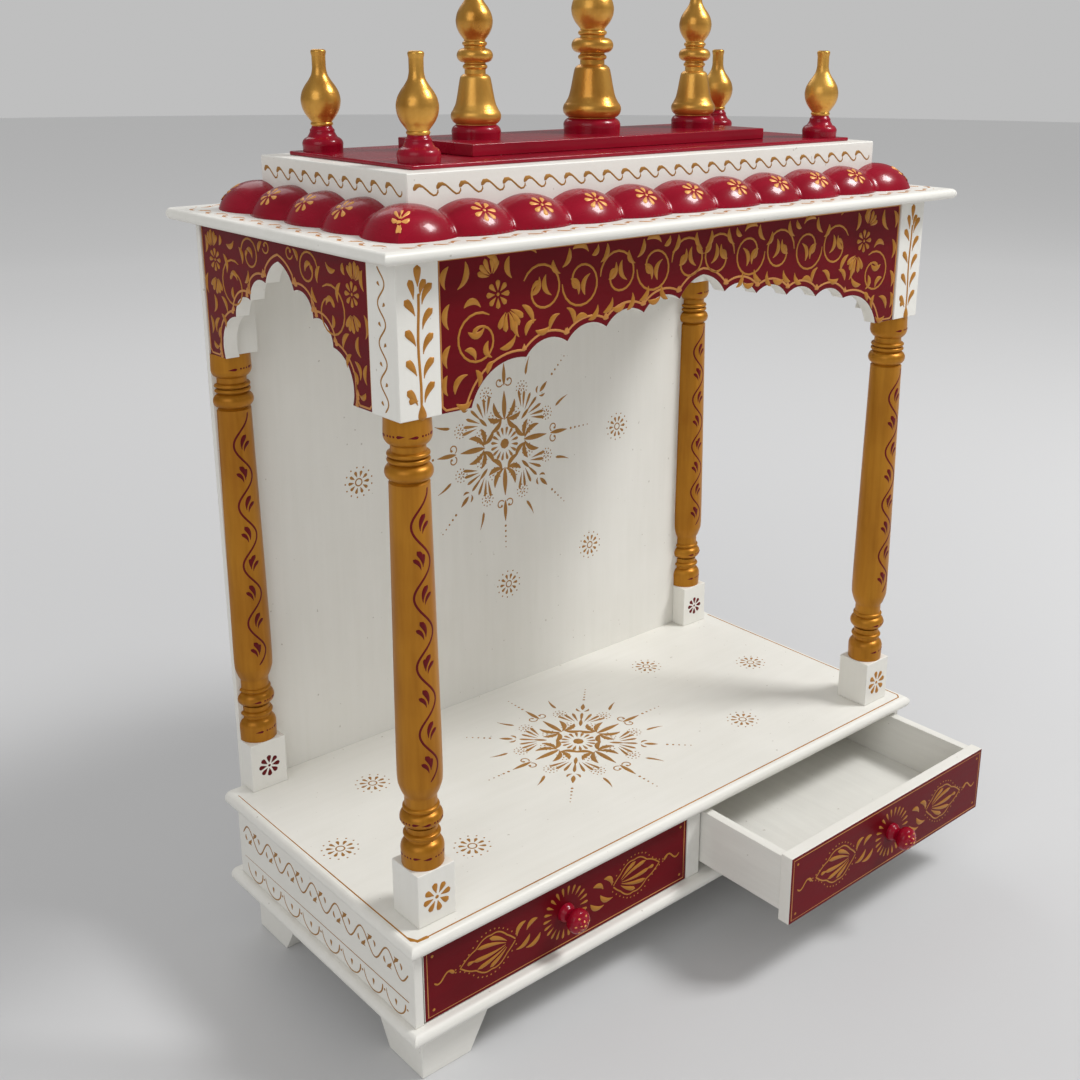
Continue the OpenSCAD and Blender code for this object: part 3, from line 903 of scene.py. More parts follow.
@dataclass
class Drawer:
    """One drawer: its box, its painted front and its knob."""

    hand: Hand
    border: float = 3.0
    knob_radius: float = 10.5
    knob_length: float = 24.0

    @property
    def body(self) -> str:
        """The body that the drawer moves with."""
        return f"{self.hand.name.lower()}_drawer"

    def build(self) -> None:
        """Builds the box, the front and the knob."""
        front_plane = (Space.of(f"{self.body}_front").low.y + 0.1) * MM
        inside = INSIDE_WHITE.material(Grain.DEEP)
        for part in ("sides", "bottom"):
            eased_board(f"{self.body}_{part}", self.body, inside)
        eased_board(f"{self.body}_back", self.body, INSIDE_WHITE.material(Grain.ACROSS))
        eased_board(f"{self.body}_front", self.body, WHITE.material(Grain.ACROSS), 0.8,
                    MAROON.material(Grain.ACROSS),
                    lambda face: face.normal.y < -0.9 and face.calc_center_median().y < front_plane)
        self.build_knob()

    def knob_profile(self) -> Profile:
        """The knob's outline, from the drawer front outwards."""
        r, l = self.knob_radius, self.knob_length
        made = Profile()
        made.curve((0, 0.78 * r), (0.1 * l, 0.74 * r), (0.24 * l, 0.54 * r), (0.36 * l, 0.6 * r),
                   (0.46 * l, 0.78 * r))
        made.curve((0.38 * l, 0.60 * r), (0.46 * l, 0.88 * r), (0.6 * l, r), (0.76 * l, 0.94 * r),
                   (0.86 * l, 0.72 * r), (0.9 * l, 0.4 * r), (0.905 * l, 0.2))
        return made.bead(0.46 * r, 0.88 * l, 0.12 * l)

    def build_knob(self) -> None:
        """Builds the knob and the dots on its end."""
        front = Space.of(f"{self.body}_front")
        centre = Vector((front.middle.x, front.low.y, front.middle.z))
        bm = self.knob_profile().spin(0, 0.995 * self.knob_length, 40)
        stand = Matrix.Translation(centre * MM) @ Matrix.Rotation(math.radians(90), 4, "X")
        bmesh.ops.transform(bm, matrix=stand, verts=bm.verts)
        knob = finish_piece(bm, f"{self.body}_knob_turning", self.body,
                            [CRIMSON.material(Grain.UP)], 40)
        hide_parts(f"{self.body}_knob")
        dots = Pattern()
        dots.dots(6, 7.2, 1.0)
        dots.dot(0j, 1.1)
        dots.dots(5, 3.6, 0.9, 20)
        end = TurnedEnd(centre, self.knob_profile(), self.knob_length)
        dots.paint(f"{self.body}_knob_dots", end, self.body, "drawer_red_paint", PEACH_GOLD.material(), 0.5)

    def paisley(self) -> Pattern:
        """A scalloped leaf with drops inside and dots round it; its tip is at the origin and points left."""
        made = Pattern()
        length, half, outside = 54.0, 15.5, 4.8
        for side in (1, -1):
            outline = []
            for i in range(49):
                t = i / 48
                swell = math.sin(math.pi * min(t ** 1.25, 1)) * half
                scallop = 1.9 * abs(math.sin(3.5 * math.pi * t)) * (1 - 0.5 * t)
                outline.append(complex(length * t, side * (swell + scallop)))
            made.line(outline, 1.25)
            for i in range(15):
                t = i / 14
                swell = math.sin(math.pi * min(t ** 1.25, 1)) * half + outside
                rise = side * swell * min(1, 0.25 + 2.2 * t)
                made.dot(complex(length * t * 1.02 - 4 * (1 - t), rise), 0.75)
        for lean, reach in ((0, 34), (17, 31), (-17, 31), (37, 22), (-37, 22)):
            way = turn(180 - lean)
            made.drop(length * 0.86 + way * reach, length * 0.92 + way * 5, 4.0,
                      0.05 * (1 if lean > 0 else -1))
        made.drop(7 + 0j, 15 + 0j, 3.4)
        return made

    def dress(self) -> None:
        """Paints the front's border, its sunburst, leaves and paisleys."""
        front = Space.of(f"{self.body}_front")
        ground = Face(Vector((front.middle.x, front.low.y, front.middle.z)), X, Z)
        half_x, half_y = front.size.x / 2 - self.border, front.size.z / 2 - self.border
        lines = Pattern()
        corners = [complex(-half_x, -half_y), complex(half_x, -half_y), complex(half_x, half_y),
                   complex(-half_x, half_y)]
        for a, b in zip(corners, corners[1:] + corners[:1]):
            lines.line([a, (a + b) / 2, b], 0.9)
        lines.paint(f"{self.body}_border", ground, self.body, "drawer_red_paint", PALE_GOLD.material(),
                    LINE_RISE)
        drawn = Pattern()
        for corner in corners:
            inwards = complex(math.copysign(5, corner.real), math.copysign(5, corner.imag))
            drawn.dot(corner - inwards, 1.3)
        drawn.ring(22, 15.5, 24, 2.5)
        half = Pattern()
        half.add(self.paisley(), -107 + 0j)
        half.leaf(-30 + 9j, -41 + 3j, 4.6, -0.2)
        half.leaf(-42 + 12j, -51 + 2j, 4.6, -0.25)
        half.leaf(-27 - 6j, -42 - 13j, 4.6, 0.2)
        half.leaf(-38 - 2j, -52 - 10j, 4.6, 0.2)
        half.line([complex(-131 + 1.5 * i, 3.4 * math.sin(i * 0.5 + 3.4)) for i in range(13)], 1.5, 2.0)
        drawn.add(half.mirrored())
        drawn.paint(f"{self.body}_figures", ground, self.body, "drawer_red_paint", RAISED_GOLD.material(),
                    LINE_RISE)


@dataclass
class Pillar:
    """A turned pillar with square ends, and the vine painted up it."""

    hand: Hand
    end: End
    block: float = 34.0
    arch_notch: float = 13.5
    foot_height: float = 45.0
    head_height: float = 107.0
    shaft_foot: float = 17.0
    shaft_top: float = 14.4
    vine_turn: float = 0.12
    body: str = "temple"

    @property
    def node(self) -> str:
        """The CAD node that the pillar stands for."""
        return f"{self.end.name.lower()}_{self.hand.name.lower()}_pillar"

    @property
    def axis(self) -> Vector:
        """The foot of the pillar's axis."""
        space = Space.of(self.node)
        outer = space.low.x if self.hand is Hand.LEFT else space.high.x
        return Vector((outer - self.hand.value * self.block / 2, space.low.y + self.block / 2, space.low.z))

    @property
    def turning(self) -> float:
        """The height of the turned part."""
        return Space.of(self.node).size.z - self.foot_height - self.head_height

    def profile(self) -> Profile:
        """The outline of the turned part, from the top of the square foot."""
        top, foot, head = self.turning, self.shaft_foot, self.shaft_top
        made = Profile()
        made.taper(0, 13, 0.95 * foot, 0.97 * foot).bead(0.97 * foot, 13, 8)
        made.bead(0.84 * foot, 25, 2).taper(20, 32, 0.70 * foot)
        made.bead(0.96 * foot, 39, 6.5).bead(0.82 * foot, 47.5, 1.6).taper(45, 66, 0.72 * foot)
        made.curve((57, 0.72 * foot), (62, 0.86 * foot), (70, 0.985 * foot), (78, foot),
                   (110, 0.985 * foot), (top - 47, head))
        made.curve((top - 47.5, head), (top - 45, 0.86 * head), (top - 42, 0.9 * head))
        made.taper(top - 46, top, 0.86 * head).bead(foot, top - 39.5, 6.2)
        made.bead(1.05 * head, top - 31, 1.7).bead(1.05 * head, top - 26.8, 1.7)
        made.bead(foot, top - 13, 8).taper(top - 13, top, foot, 0.97 * foot)
        return made

    def build(self) -> None:
        """Builds the square ends and the turning."""
        white = WHITE.material(Grain.UP)
        space, axis = Space.of(self.node), self.axis
        ends = {
            "foot": (space.low.z, space.low.z + self.foot_height),
            "head": (space.high.z - self.head_height, space.high.z),
        }
        for part, (low, high) in ends.items():
            notch = self.arch_notch if part == "head" and self.end is End.BACK else 0.0
            size = Vector((self.block - notch, space.size.y, high - low))
            middle = Vector((axis.x - self.hand.value * notch / 2, space.middle.y, (low + high) / 2))
            block = bmesh.new()
            bmesh.ops.create_cube(block, size=1)
            bmesh.ops.scale(block, vec=size * MM, verts=block.verts)
            bmesh.ops.translate(block, vec=middle * MM, verts=block.verts)
            bmesh.ops.bevel(block, geom=block.edges[:], affect="EDGES", offset=0.9 * MM,
                            offset_type="OFFSET", segments=3, profile=0.5, material=-1)
            made = finish_piece(block, f"{self.node}_{part}", self.body, [white], 20)
            made.modifiers.new("even_shade", "WEIGHTED_NORMAL").keep_sharp = True
        turned = self.profile().spin(0, self.turning, 56)
        bmesh.ops.translate(turned, vec=(axis + Vector((0, 0, self.foot_height))) * MM, verts=turned.verts)
        if self.end is End.BACK:
            whole = turned.verts[:] + turned.edges[:] + turned.faces[:]
            cut = bmesh.ops.bisect_plane(turned, geom=whole, plane_co=Y * space.high.y * MM, plane_no=Y,
                                         clear_outer=True)
            bmesh.ops.holes_fill(turned,
                                 edges=[e for e in cut["geom_cut"] if isinstance(e, bmesh.types.BMEdge)])
        shaft = finish_piece(turned, f"{self.node}_turning", self.body,
                             [OCHRE.material(Grain.UP)], 32)
        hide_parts(self.node)

    def vine(self) -> Pattern:
        """A waving vine up the shaft with a pair of drops in each bend."""
        drawn = Pattern()
        low, high, waves, swing = 74.0, self.turning - 50, 4.25, 7.0
        count = 110
        drawn.line([complex(swing * math.sin(math.tau * waves * i / count), low + (high - low) * i / count)
                    for i in range(count + 1)], 1.7)
        for i in range(int(2 * waves)):
            side = -1 if i % 2 == 0 else 1
            root = complex(-side * 1.5, low + (high - low) * (i + 0.28) / (2 * waves))
            drawn.drop(root + complex(side * 5.2, 14.5), root + complex(side * 1.0, 2.5), 4.0, -0.12 * side)
            drawn.drop(root + complex(side * 8.2, 8.5), root + complex(side * 2.6, 0.5), 3.2, -0.14 * side)
            if i % 3 == 0:
                drawn.drop(root + complex(side * 0.2, 12.0), root + complex(0, 5.0), 2.4, 0.0)
        return drawn

    def marks(self) -> Pattern:
        """The dashes and dots painted on the cups and the lowest ring."""
        drawn = Pattern()
        for height in (10.0, 38.5, self.turning - 12):
            drawn.drop(complex(-2.5, height), complex(-9.5, height - 0.5), 2.2)
            for i in range(3):
                drawn.dot(complex(0.8 + 2.8 * i, height + 0.3), 0.85)
            drawn.drop(complex(8.6, height + 0.3), complex(14.5, height + 0.8), 2.2)
        return drawn

    def dress(self) -> None:
        """Paints the turning and the square ends."""
        space, axis = Space.of(self.node), self.axis
        red = VINE_RED.material(Grain.UP)
        profile = self.profile()
        foot = axis + Vector((0, 0, self.foot_height))
        ground = Turned(foot, profile, -math.pi / 2 - self.vine_turn)
        self.vine().paint(f"{self.node}_vine", ground, self.body, "pillar_paint", red, VINE_RISE)
        marked = {"front": -math.pi / 2}
        if self.end is End.FRONT:
            marked["outer"] = math.pi if self.hand is Hand.LEFT else 0.0
        for label, facing in marked.items():
            self.marks().paint(f"{self.node}_marks_{label}", Turned(foot, profile, facing), self.body,
                               "pillar_paint", red, VINE_RISE)
        front = Vector((axis.x, space.low.y, 0))
        low = Face(front + Vector((0, 0, space.low.z + self.foot_height * 0.47)), X, Z)
        flower, paint = painted_flower(8, 10.0, 4.2), VINE_RED
        if self.end is End.FRONT:
            flower, paint = painted_flower(8, 12.5, 5.0, 10), RAISED_GOLD
        flower.paint(f"{self.node}_flower", low, self.body, "pillar_paint", paint.material(), LINE_RISE)
        if self.end is End.FRONT:
            head = Vector((0, 0, space.high.z - self.head_height))
            self.stem().paint(f"{self.node}_stem", Face(front + head, X, Z), self.body, "pillar_paint",
                              RAISED_GOLD.material(), BOLD_RISE)
            outer = Vector((axis.x + self.hand.value * self.block / 2, axis.y, head.z))
            self.ripple().paint(f"{self.node}_ripple", Face(outer, Y * self.hand.value, Z), self.body,
                                "pillar_paint", BRONZE_GOLD.material(), BOLD_RISE)

    def stem(self) -> Pattern:
        """A stem with leaves in pairs and three buds, as tall as the head."""
        drawn = Pattern()
        drawn.line([complex(0.7 * math.sin(i), 2 + 10.2 * i) for i in range(9)], 2.2)
        drawn.drop(1 - 1j, 0.6 + 11j, 7.0)
        for i in range(4):
            drawn.drop(complex(-10.5, 21 + 20 * i), complex(-2.5, 10 + 20 * i), 5.6, 0.06)
        for i in range(5):
            drawn.drop(complex(11.5, 24 + 16.5 * i), complex(3.2, 11 + 16.5 * i), 5.4, -0.12)
        drawn.drop(-9.5 + 14j, -2.2 + 13j, 5.0)
        drawn.drop(0.3 + 103j, 0.2 + 89j, 6.0)
        drawn.drop(-6.5 + 94j, -3.4 + 81j, 5.0, 0.05)
        drawn.drop(6.6 + 93j, 2.0 + 83j, 5.0, -0.12)
        return drawn

    def ripple(self) -> Pattern:
        """A rippling line with a seed in each bend, as tall as the head."""
        drawn = Pattern()
        course = [complex(4.2 * math.sin(math.tau * i / 22), 4 + 97 * i / 80) for i in range(81)]
        drawn.line(course, 1.5)
        for i in range(7):
            side = -1 if i % 2 == 0 else 1
            drawn.drop(complex(side * 4.0, 11 + 13.4 * i), complex(side * 1.2, 8.5 + 13.4 * i), 2.6)
        return drawn


@dataclass
class Arches:
    """The three scalloped arch boards and the scrolls on them."""

    outline_inset: float = 5.0
    body: str = "temple"
    seed: int = 7

    def ground(self, node: str) -> Face:
        """The outer face of an arch board, from the middle of its lower edge."""
        space = Space.of(node)
        if node == "front_arch":
            return Face(Vector((space.middle.x, space.low.y, space.low.z)), X, Z)
        hand = Hand.LEFT if node == "left_arch" else Hand.RIGHT
        x = space.low.x if hand is Hand.LEFT else space.high.x
        return Face(Vector((x, space.middle.y, space.low.z)), Y * hand.value, Z)

    def build(self) -> None:
        """Builds the boards: red outer faces, white edges and backs."""
        for node in ("front_arch", "left_arch", "right_arch"):
            ground = self.ground(node)
            facing = ground.across.cross(ground.up)
            grain = Grain.ACROSS if node == "front_arch" else Grain.DEEP
            eased_board(node, self.body, WHITE.material(grain), 0.5, MAROON.material(grain),
                        lambda face, facing=facing: face.normal.dot(facing) > 0.9)

    def edge_course(self, node: str) -> list[complex]:
        """The course of the line inside an arch's scalloped edge.

        Args:
            node: the arch board's node.
        Returns:
            Its points from left to right, a set distance inside the edge.
        """
        ground = self.ground(node)
        facing = ground.across.cross(ground.up)
        bm = solid_copy(node)
        others = [face for face in bm.faces if face.normal.dot(facing) < 0.9]
        bmesh.ops.delete(bm, geom=others, context="FACES")
        if len(bm.faces) > 1:
            bmesh.ops.dissolve_faces(bm, faces=bm.faces[:])
        bmesh.ops.inset_region(bm, faces=bm.faces[:], thickness=self.outline_inset * MM,
                               use_even_offset=True, use_boundary=True)
        inner = max(bm.faces, key=lambda face: face.calc_area())
        points = [ground.read(loop.vert.co / MM) for loop in inner.loops]
        bm.free()
        space = Space.of(node)
        half = (space.size.x if node == "front_arch" else space.size.y) / 2
        inset = self.outline_inset + 0.5
        edge = [p for p in points if abs(p.real) < half - inset and p.imag < space.size.z - inset]
        return sorted(edge, key=lambda p: p.real)

    def outline(self, node: str) -> Pattern:
        """The pale line round an arch's face, with a knot at each cusp."""
        space = Space.of(node)
        half = (space.size.x if node == "front_arch" else space.size.y) / 2 - 1.4
        edge = self.edge_course(node)
        drawn = Pattern()
        low = 2.0
        course = [complex(-half, space.size.z - 2), complex(-half, low + 3), complex(3 - half, low),
                  complex(edge[0].real - 2, low)] + edge
        course += [complex(edge[-1].real + 2, low), complex(half - 3, low), complex(half, low + 3),
                   complex(half, space.size.z - 2)]
        drawn.line(course, 1.7)
        drawn.line([complex(-half, space.size.z - 3.5), complex(half, space.size.z - 3.5)], 1.5)
        for before, here, after in zip(edge, edge[1:], edge[2:]):
            if here.imag < before.imag - 0.05 and here.imag < after.imag - 0.05:
                drawn.drop(here - 0.6j, here + 4.5j, 4.2)
        return drawn

    def front_scrolls(self) -> Pattern:
        """The left half of the front arch's scrolls."""
        rng = random.Random(self.seed)
        half = Pattern()
        spacing, reach = 36.5, 18.0
        for i in range(5):
            over = 1 if i % 2 == 0 else -1
            centre = complex(-163 + spacing * i, 75 + 1.5 * i)
            half.curl(centre, 180 - 25 * over if i == 0 else 180, reach, -1.1 * over, 1.7)
            half.leaf(centre + complex(-10.0, -3.0 * over), centre + complex(-2.5, 9.0 * over), 4.8,
                      -0.22 * over)
            half.leaf(centre + complex(3.5, 10.0 * over), centre + complex(8.5, -5.0 * over), 4.4,
                      -0.25 * over)
            top, low = 101.5, 43 + 3.2 * i
            gap = centre.real + spacing / 2
            half.leaf(complex(gap - 8, top - 7),
                      complex(gap - 1.5, top - 17) if over > 0 else complex(gap - 2, top), 4.4, -0.22)
            half.leaf(complex(gap + 7, top), complex(gap + 0.5, top - 13), 4.4, 0.2)
            if over < 0:
                half.leaf(complex(centre.real - 8, top - 1), complex(centre.real + 7, top - 4), 4.8, 0.25)
            if i < 4:
                for x in (-14, -3, 8):
                    lift = low + 4.0 + rng.uniform(-1.5, 1.5) + abs(x + 3) * 0.25
                    way = turn(rng.choice((48, 66, 120)) if x != -3 else 8)
                    spot = complex(centre.real + x + spacing * 0.1, lift)
                    half.leaf(spot - way * 6.8, spot + way * 6.8, 4.6, rng.choice((-0.22, 0.22)))
        half.add(painted_flower(8, 10.0, 3.8), -202 + 76j)
        half.add(buds(5, 17, 4.6, 92), -207 + 88j, 24, 0.85)
        half.add(buds(5, 18, 4.6, 84), -194 + 66j, 180 + 16)
        half.curl(-219 + 47j, 60, 18.5, 1.2, 1.7)
        for start, end, bend in ((-243 + 99j, -246 + 84j, -0.22), (-229 + 101j, -236 + 83j, 0.2),
                                 (-211 + 103j, -203 + 94j, 0.25), (-192 + 101j, -190 + 86j, -0.2),
                                 (-182 + 103j, -168 + 101j, 0.25), (-243 + 74j, -244 + 57j, -0.22),
                                 (-231 + 70j, -217 + 69j, 0.3), (-228 + 53j, -214 + 55j, -0.3),
                                 (-231 + 41j, -222 + 33j, 0.25), (-211 + 45j, -208 + 33j, -0.3),
                                 (-243 + 46j, -246 + 31j, -0.22), (-201 + 38j, -187 + 46j, -0.2),
                                 (-184 + 58j, -184 + 44j, -0.25), (-246 + 26j, -246 + 12j, -0.22),
                                 (-240 + 12j, -229 + 24j, 0.24), (-222 + 26j, -220 + 14j, 0.2),
                                 (-239 + 5j, -226 + 6j, -0.3), (-181 + 66j, -171 + 52j, 0.15),
                                 (-212 + 22j, -206 + 30j, 0.2)):
            half.leaf(start, end, 4.8, bend)
        return half

    def side_scrolls(self) -> Pattern:
        """The left half of a side arch's scrolls."""
        half = Pattern()
        half.curl(-70 + 62j, 60, 19, 1.2, 1.6)
        half.curl(-42 + 88j, 200, 13, -1.15, 1.6)
        half.curl(-17 + 97j, -160, 5.0, 0.9, 1.3)
        half.add(painted_flower(8, 9.0, 3.4), -98 + 78j)
        half.add(buds(5, 15, 4.0, 80), -101 + 86j, 6)
        half.add(buds(5, 15, 4.0, 80), -97 + 66j, 172)
        for start, end, bend in ((-78 + 92j, -66 + 96j, -0.25), (-84 + 84j, -80 + 70j, 0.2),
                                 (-74 + 70j, -64 + 66j, 0.3), (-72 + 60j, -70 + 50j, -0.2),
                                 (-46 + 92j, -38 + 86j, 0.3), (-58 + 92j, -54 + 80j, 0.2),
                                 (-28 + 92j, -22 + 100j, 0.2), (-52 + 66j, -46 + 76j, -0.2),
                                 (-92 + 50j, -84 + 38j, 0.2), (-104 + 50j, -106 + 36j, 0.25),
                                 (-112 + 66j, -113 + 50j, -0.2), (-113 + 32j, -112 + 18j, 0.2),
                                 (-98 + 32j, -104 + 20j, -0.25), (-94 + 36j, -88 + 26j, 0.2),
                                 (-110 + 12j, -102 + 9j, -0.3), (-100 + 16j, -95 + 25j, 0.2),
                                 (-112 + 96j, -113 + 82j, 0.2), (-88 + 98j, -90 + 90j, 0.2)):
            half.leaf(start, end, 4.2, bend)
        return half

    def dress(self) -> None:
        """Paints the lines and the scrolls."""
        for node in ("front_arch", "left_arch", "right_arch"):
            ground = self.ground(node)
            self.outline(node).paint(f"{node}_line", ground, self.body, "arch_paint", PALE_GOLD.material(),
                                     BOLD_RISE)
            half = self.front_scrolls() if node == "front_arch" else self.side_scrolls()
            half.mirrored().paint(f"{node}_scrolls", ground, self.body, "arch_paint",
                                  RAISED_GOLD.material(), BOLD_RISE)


@dataclass
class BackPanel:
    """The panel behind the shrine, with its figure and flowers."""

    mandala_reach: float = 108.0
    mandala_height: float = 394.0
    flower_reach: float = 14.0
    body: str = "temple"

    def build(self) -> None:
        """Builds the panel."""
        eased_board("back_panel", self.body, WHITE.material(Grain.UP))

    def dress(self) -> None:
        """Paints the panel's front."""
        panel = Space.of("back_panel")
        ground = Face(Vector((panel.middle.x, panel.low.y, 0)), X, Z)
        drawn = Pattern()
        drawn.add(mandala(self.mandala_reach), complex(13, self.mandala_height))
        for spot in (162 + 384j, 125 + 261j, 16 + 246j, -153 + 390j, -95 + 261j):
            drawn.add(small_flower(self.flower_reach), spot)
        drawn.paint("back_panel_figures", ground, self.body, "white_paint", BRONZE_GOLD.material(Grain.UP),
                    FLAT_RISE)


@dataclass
class Roof:
    """The cornice, its petals, the stepped roof, the finials and the spires."""

    petal_radius: float = 30.0
    petal_sink: float = 8.0
    petal_depth: float = 31.0
    petal_valley: float = 7.0
    long_gaps: int = 10
    short_gaps: int = 4
    wave_period: float = 18.5
    wave_level: float = 29.0
    sprig_inset: float = 13.0
    sprig_gap: float = 40.0
    finial_height: float = 74.0
    spire_height: float = 120.0
    middle_height: float = 135.0
    middle_girth: float = 1.24
    body: str = "temple"

    def build(self) -> None:
        """Builds the boards, the petals and the turnings."""
        eased_board("cornice", self.body, WHITE.material(Grain.ACROSS), 0.6)
        eased_board("tier", self.body, WHITE.material(Grain.ACROSS), 1.2)
        for node in ("roof_plate", "roof_slab"):
            eased_board(node, self.body, CRIMSON.material(Grain.ACROSS), 0.8)
        for side in ("front", "back", "left", "right"):
            grain = Grain.ACROSS if side in ("front", "back") else Grain.DEEP
            bm = solid_copy(f"{side}_petals", whole_faces=False)
            strip = finish_piece(bm, f"{side}_petal_strip", self.body,
                                 [CRIMSON.material(grain)], 28)
            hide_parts(f"{side}_petals")
        for end, hand in product(End, Hand):
            self.build_finial(f"{end.name.lower()}_{hand.name.lower()}_finial")
        for node in ("left_spire", "middle_spire", "right_spire"):
            self.build_spire(node)

    def stand(self, profile: Profile, node: str, part: str, low: float, high: float,
              finish: Paint) -> bpy.types.Object:
        """Spins a stretch of a turned ornament in its node's place.

        Args:
            profile: the outline of the whole turning.
            node: the CAD node.
            part: the name of this stretch.
            low: where the stretch starts.
            high: where it ends.
            finish: its paint.
        Returns:
            The piece.
        """
        space = Space.of(node)
        bm = profile.spin(low, high, 48)
        bmesh.ops.translate(bm, vec=Vector((space.middle.x, space.middle.y, space.low.z)) * MM,
                            verts=bm.verts)
        return finish_piece(bm, f"{node}_{part}", self.body, [finish.material(Grain.UP)], 38)

    def bulb(self, made: Profile, low: float, level: float, radius: float, top: float) -> None:
        """Adds an egg-shaped bulb with a slim neck and a flared tip to an outline.

        Args:
            made: the outline.
            low: the height of the bulb's foot.
            level: the height of the bulb's widest place.
            radius: how wide it is there.
            top: the height of the tip.
        """
        rise, sink = top - level, level - low
        made.curve((low, 0.50 * radius), (low + 0.12 * sink, 0.60 * radius),
                   (low + 0.45 * sink, 0.85 * radius), (low + 0.75 * sink, 0.97 * radius), (level, radius),
                   (level + 0.14 * rise, 0.94 * radius), (level + 0.28 * rise, 0.77 * radius),
                   (level + 0.41 * rise, 0.54 * radius), (level + 0.52 * rise, 0.40 * radius),
                   (level + 0.66 * rise, 0.345 * radius), (level + 0.85 * rise, 0.345 * radius),
                   (level + 0.95 * rise, 0.385 * radius), (level + 0.985 * rise, 0.35 * radius),
                   (top, 0.24 * radius))

    def build_finial(self, node: str) -> None:
        """Builds one corner finial: a red base and a gold bulb."""
        unit = self.finial_height / FINIAL_UNITS
        made = Profile()
        made.taper(0, 5.5 * unit, 15.4 * unit, 15.6 * unit).bead(15.8 * unit, 5.5 * unit, 5.5 * unit)
        made.curve((8 * unit, 13.8 * unit), (11 * unit, 11.6 * unit), (14.5 * unit, 9.6 * unit),
                   (19.5 * unit, 7.6 * unit)).bead(9.6 * unit, 15.5 * unit, 2.2 * unit)
        made.taper(18 * unit, 26 * unit, 7.4 * unit).bead(8.6 * unit, 20.8 * unit, 1.6 * unit)
        self.bulb(made, 22 * unit, 38.5 * unit, 15.2 * unit, self.finial_height)
        base = self.stand(made, node, "base", 0, 19.2 * unit, CRIMSON)
        self.stand(made, node, "bulb", 19.2 * unit, self.finial_height, GILT)
        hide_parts(node)

    def build_spire(self, node: str) -> None:
        """Builds one spire: a red base under a gold bell, ring and bulb."""
        middle = node == "middle_spire"
        height = self.middle_height if middle else self.spire_height
        girth, unit = (self.middle_girth if middle else 1.0), height / SPIRE_UNITS
        made = Profile()
        made.taper(0, 5.5 * unit, 18.7 * girth, 18.9 * girth).bead(19 * girth, 5.5 * unit, 5.5 * unit)
        made.taper(5 * unit, 13 * unit, 15.6 * girth)
        made.bead(19.3 * girth, 17.5 * unit, 6.5 * unit)
        made.curve((18.5 * unit, 19.1 * girth), (22.5 * unit, 17.4 * girth), (27 * unit, 15.4 * girth),
                   (34 * unit, 13.9 * girth), (43 * unit, 12.4 * girth), (47.5 * unit, 11.4 * girth),
                   (50 * unit, 9.0 * girth))
        made.taper(46 * unit, 79 * unit, 8.0 * girth)
        made.bead(9.4 * girth, 55.5 * unit, 1.9 * unit).bead(13.7 * girth, 64 * unit, 5.4 * unit)
        made.bead(9.4 * girth, 73 * unit, 1.8 * unit)
        self.bulb(made, 74.5 * unit, 90 * unit, 13.9 * girth, height)
        base = self.stand(made, node, "base", 0, 11 * unit, CRIMSON)
        self.stand(made, node, "bell", 11 * unit, height, GILT)
        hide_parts(node)

    def dress_petals(self) -> None:
        """Paints a flower on each petal and a flower across each mitred corner."""
        tier = Space.of("tier")
        axis_out = self.petal_depth - math.sqrt(self.petal_radius ** 2 - self.petal_sink ** 2)
        level = tier.low.z - self.petal_sink
        x_half, y_half = tier.size.x / 2 + axis_out, tier.size.y / 2 + axis_out
        for side, (along, out) in SIDES.items():
            long_side = side in ("front", "back")
            half, away = (x_half, y_half) if long_side else (y_half, x_half)
            gaps = self.long_gaps if long_side else self.short_gaps
            pitch = 2 * half / gaps
            bulge = (pitch * pitch / 4 + self.petal_valley ** 2) / (2 * self.petal_valley)
            for i in range(gaps):
                spot = Vector((tier.middle.x, tier.middle.y, level)) + out * away + along * (i * pitch - half)
                ground = Lobe(spot, along, out, self.petal_radius, bulge, math.radians(52), i == 0)
                flower = painted_flower(7, 9.5, 3.6, 9 * i)
                flower.paint(f"{side}_petal_flower_{i}", ground, self.body, "roof_red_paint",
                             PEACH_GOLD.material(), 0.25)

    def tier_wave(self, length: float) -> Pattern:
        """A running wave as long as a side of the tier, each crest begun with a knot."""
        drawn = Pattern()
        count = round((length - 12) / self.wave_period)
        period = (length - 12) / count
        course = (0.01 + 1.6j, 0.08 + 3.2j, 0.22 + 3.7j, 0.37 + 2.7j, 0.53 + 0.4j, 0.69 - 2.1j, 0.83 - 3.6j,
                  0.95 - 3.3j, 1.02 - 1.7j, 1.02 + 0.2j)
        for i in range(count):
            start = -length / 2 + 6 + period * i
            drawn.line([complex(start + period * p.real, self.wave_level + p.imag)
                        for p in reversed(course)], 1.4, 2.6)
        return drawn

    def cornice_sprigs(self, length: float) -> Pattern:
        """A faint row of leaves and dots as long as a side of the cornice."""
        drawn = Pattern()
        count = round(length / 13)
        for i in range(count):
            x = (i + 0.5) * length / count - length / 2
            side = 1 if i % 2 else -1
            drawn.leaf(complex(x - 5.5, -2.4 * side), complex(x + 4.5, 3.4 * side), 2.8, 0.28 * side)
            drawn.dot(complex(x + 6.5, -1.0 * side), 0.8)
        return drawn

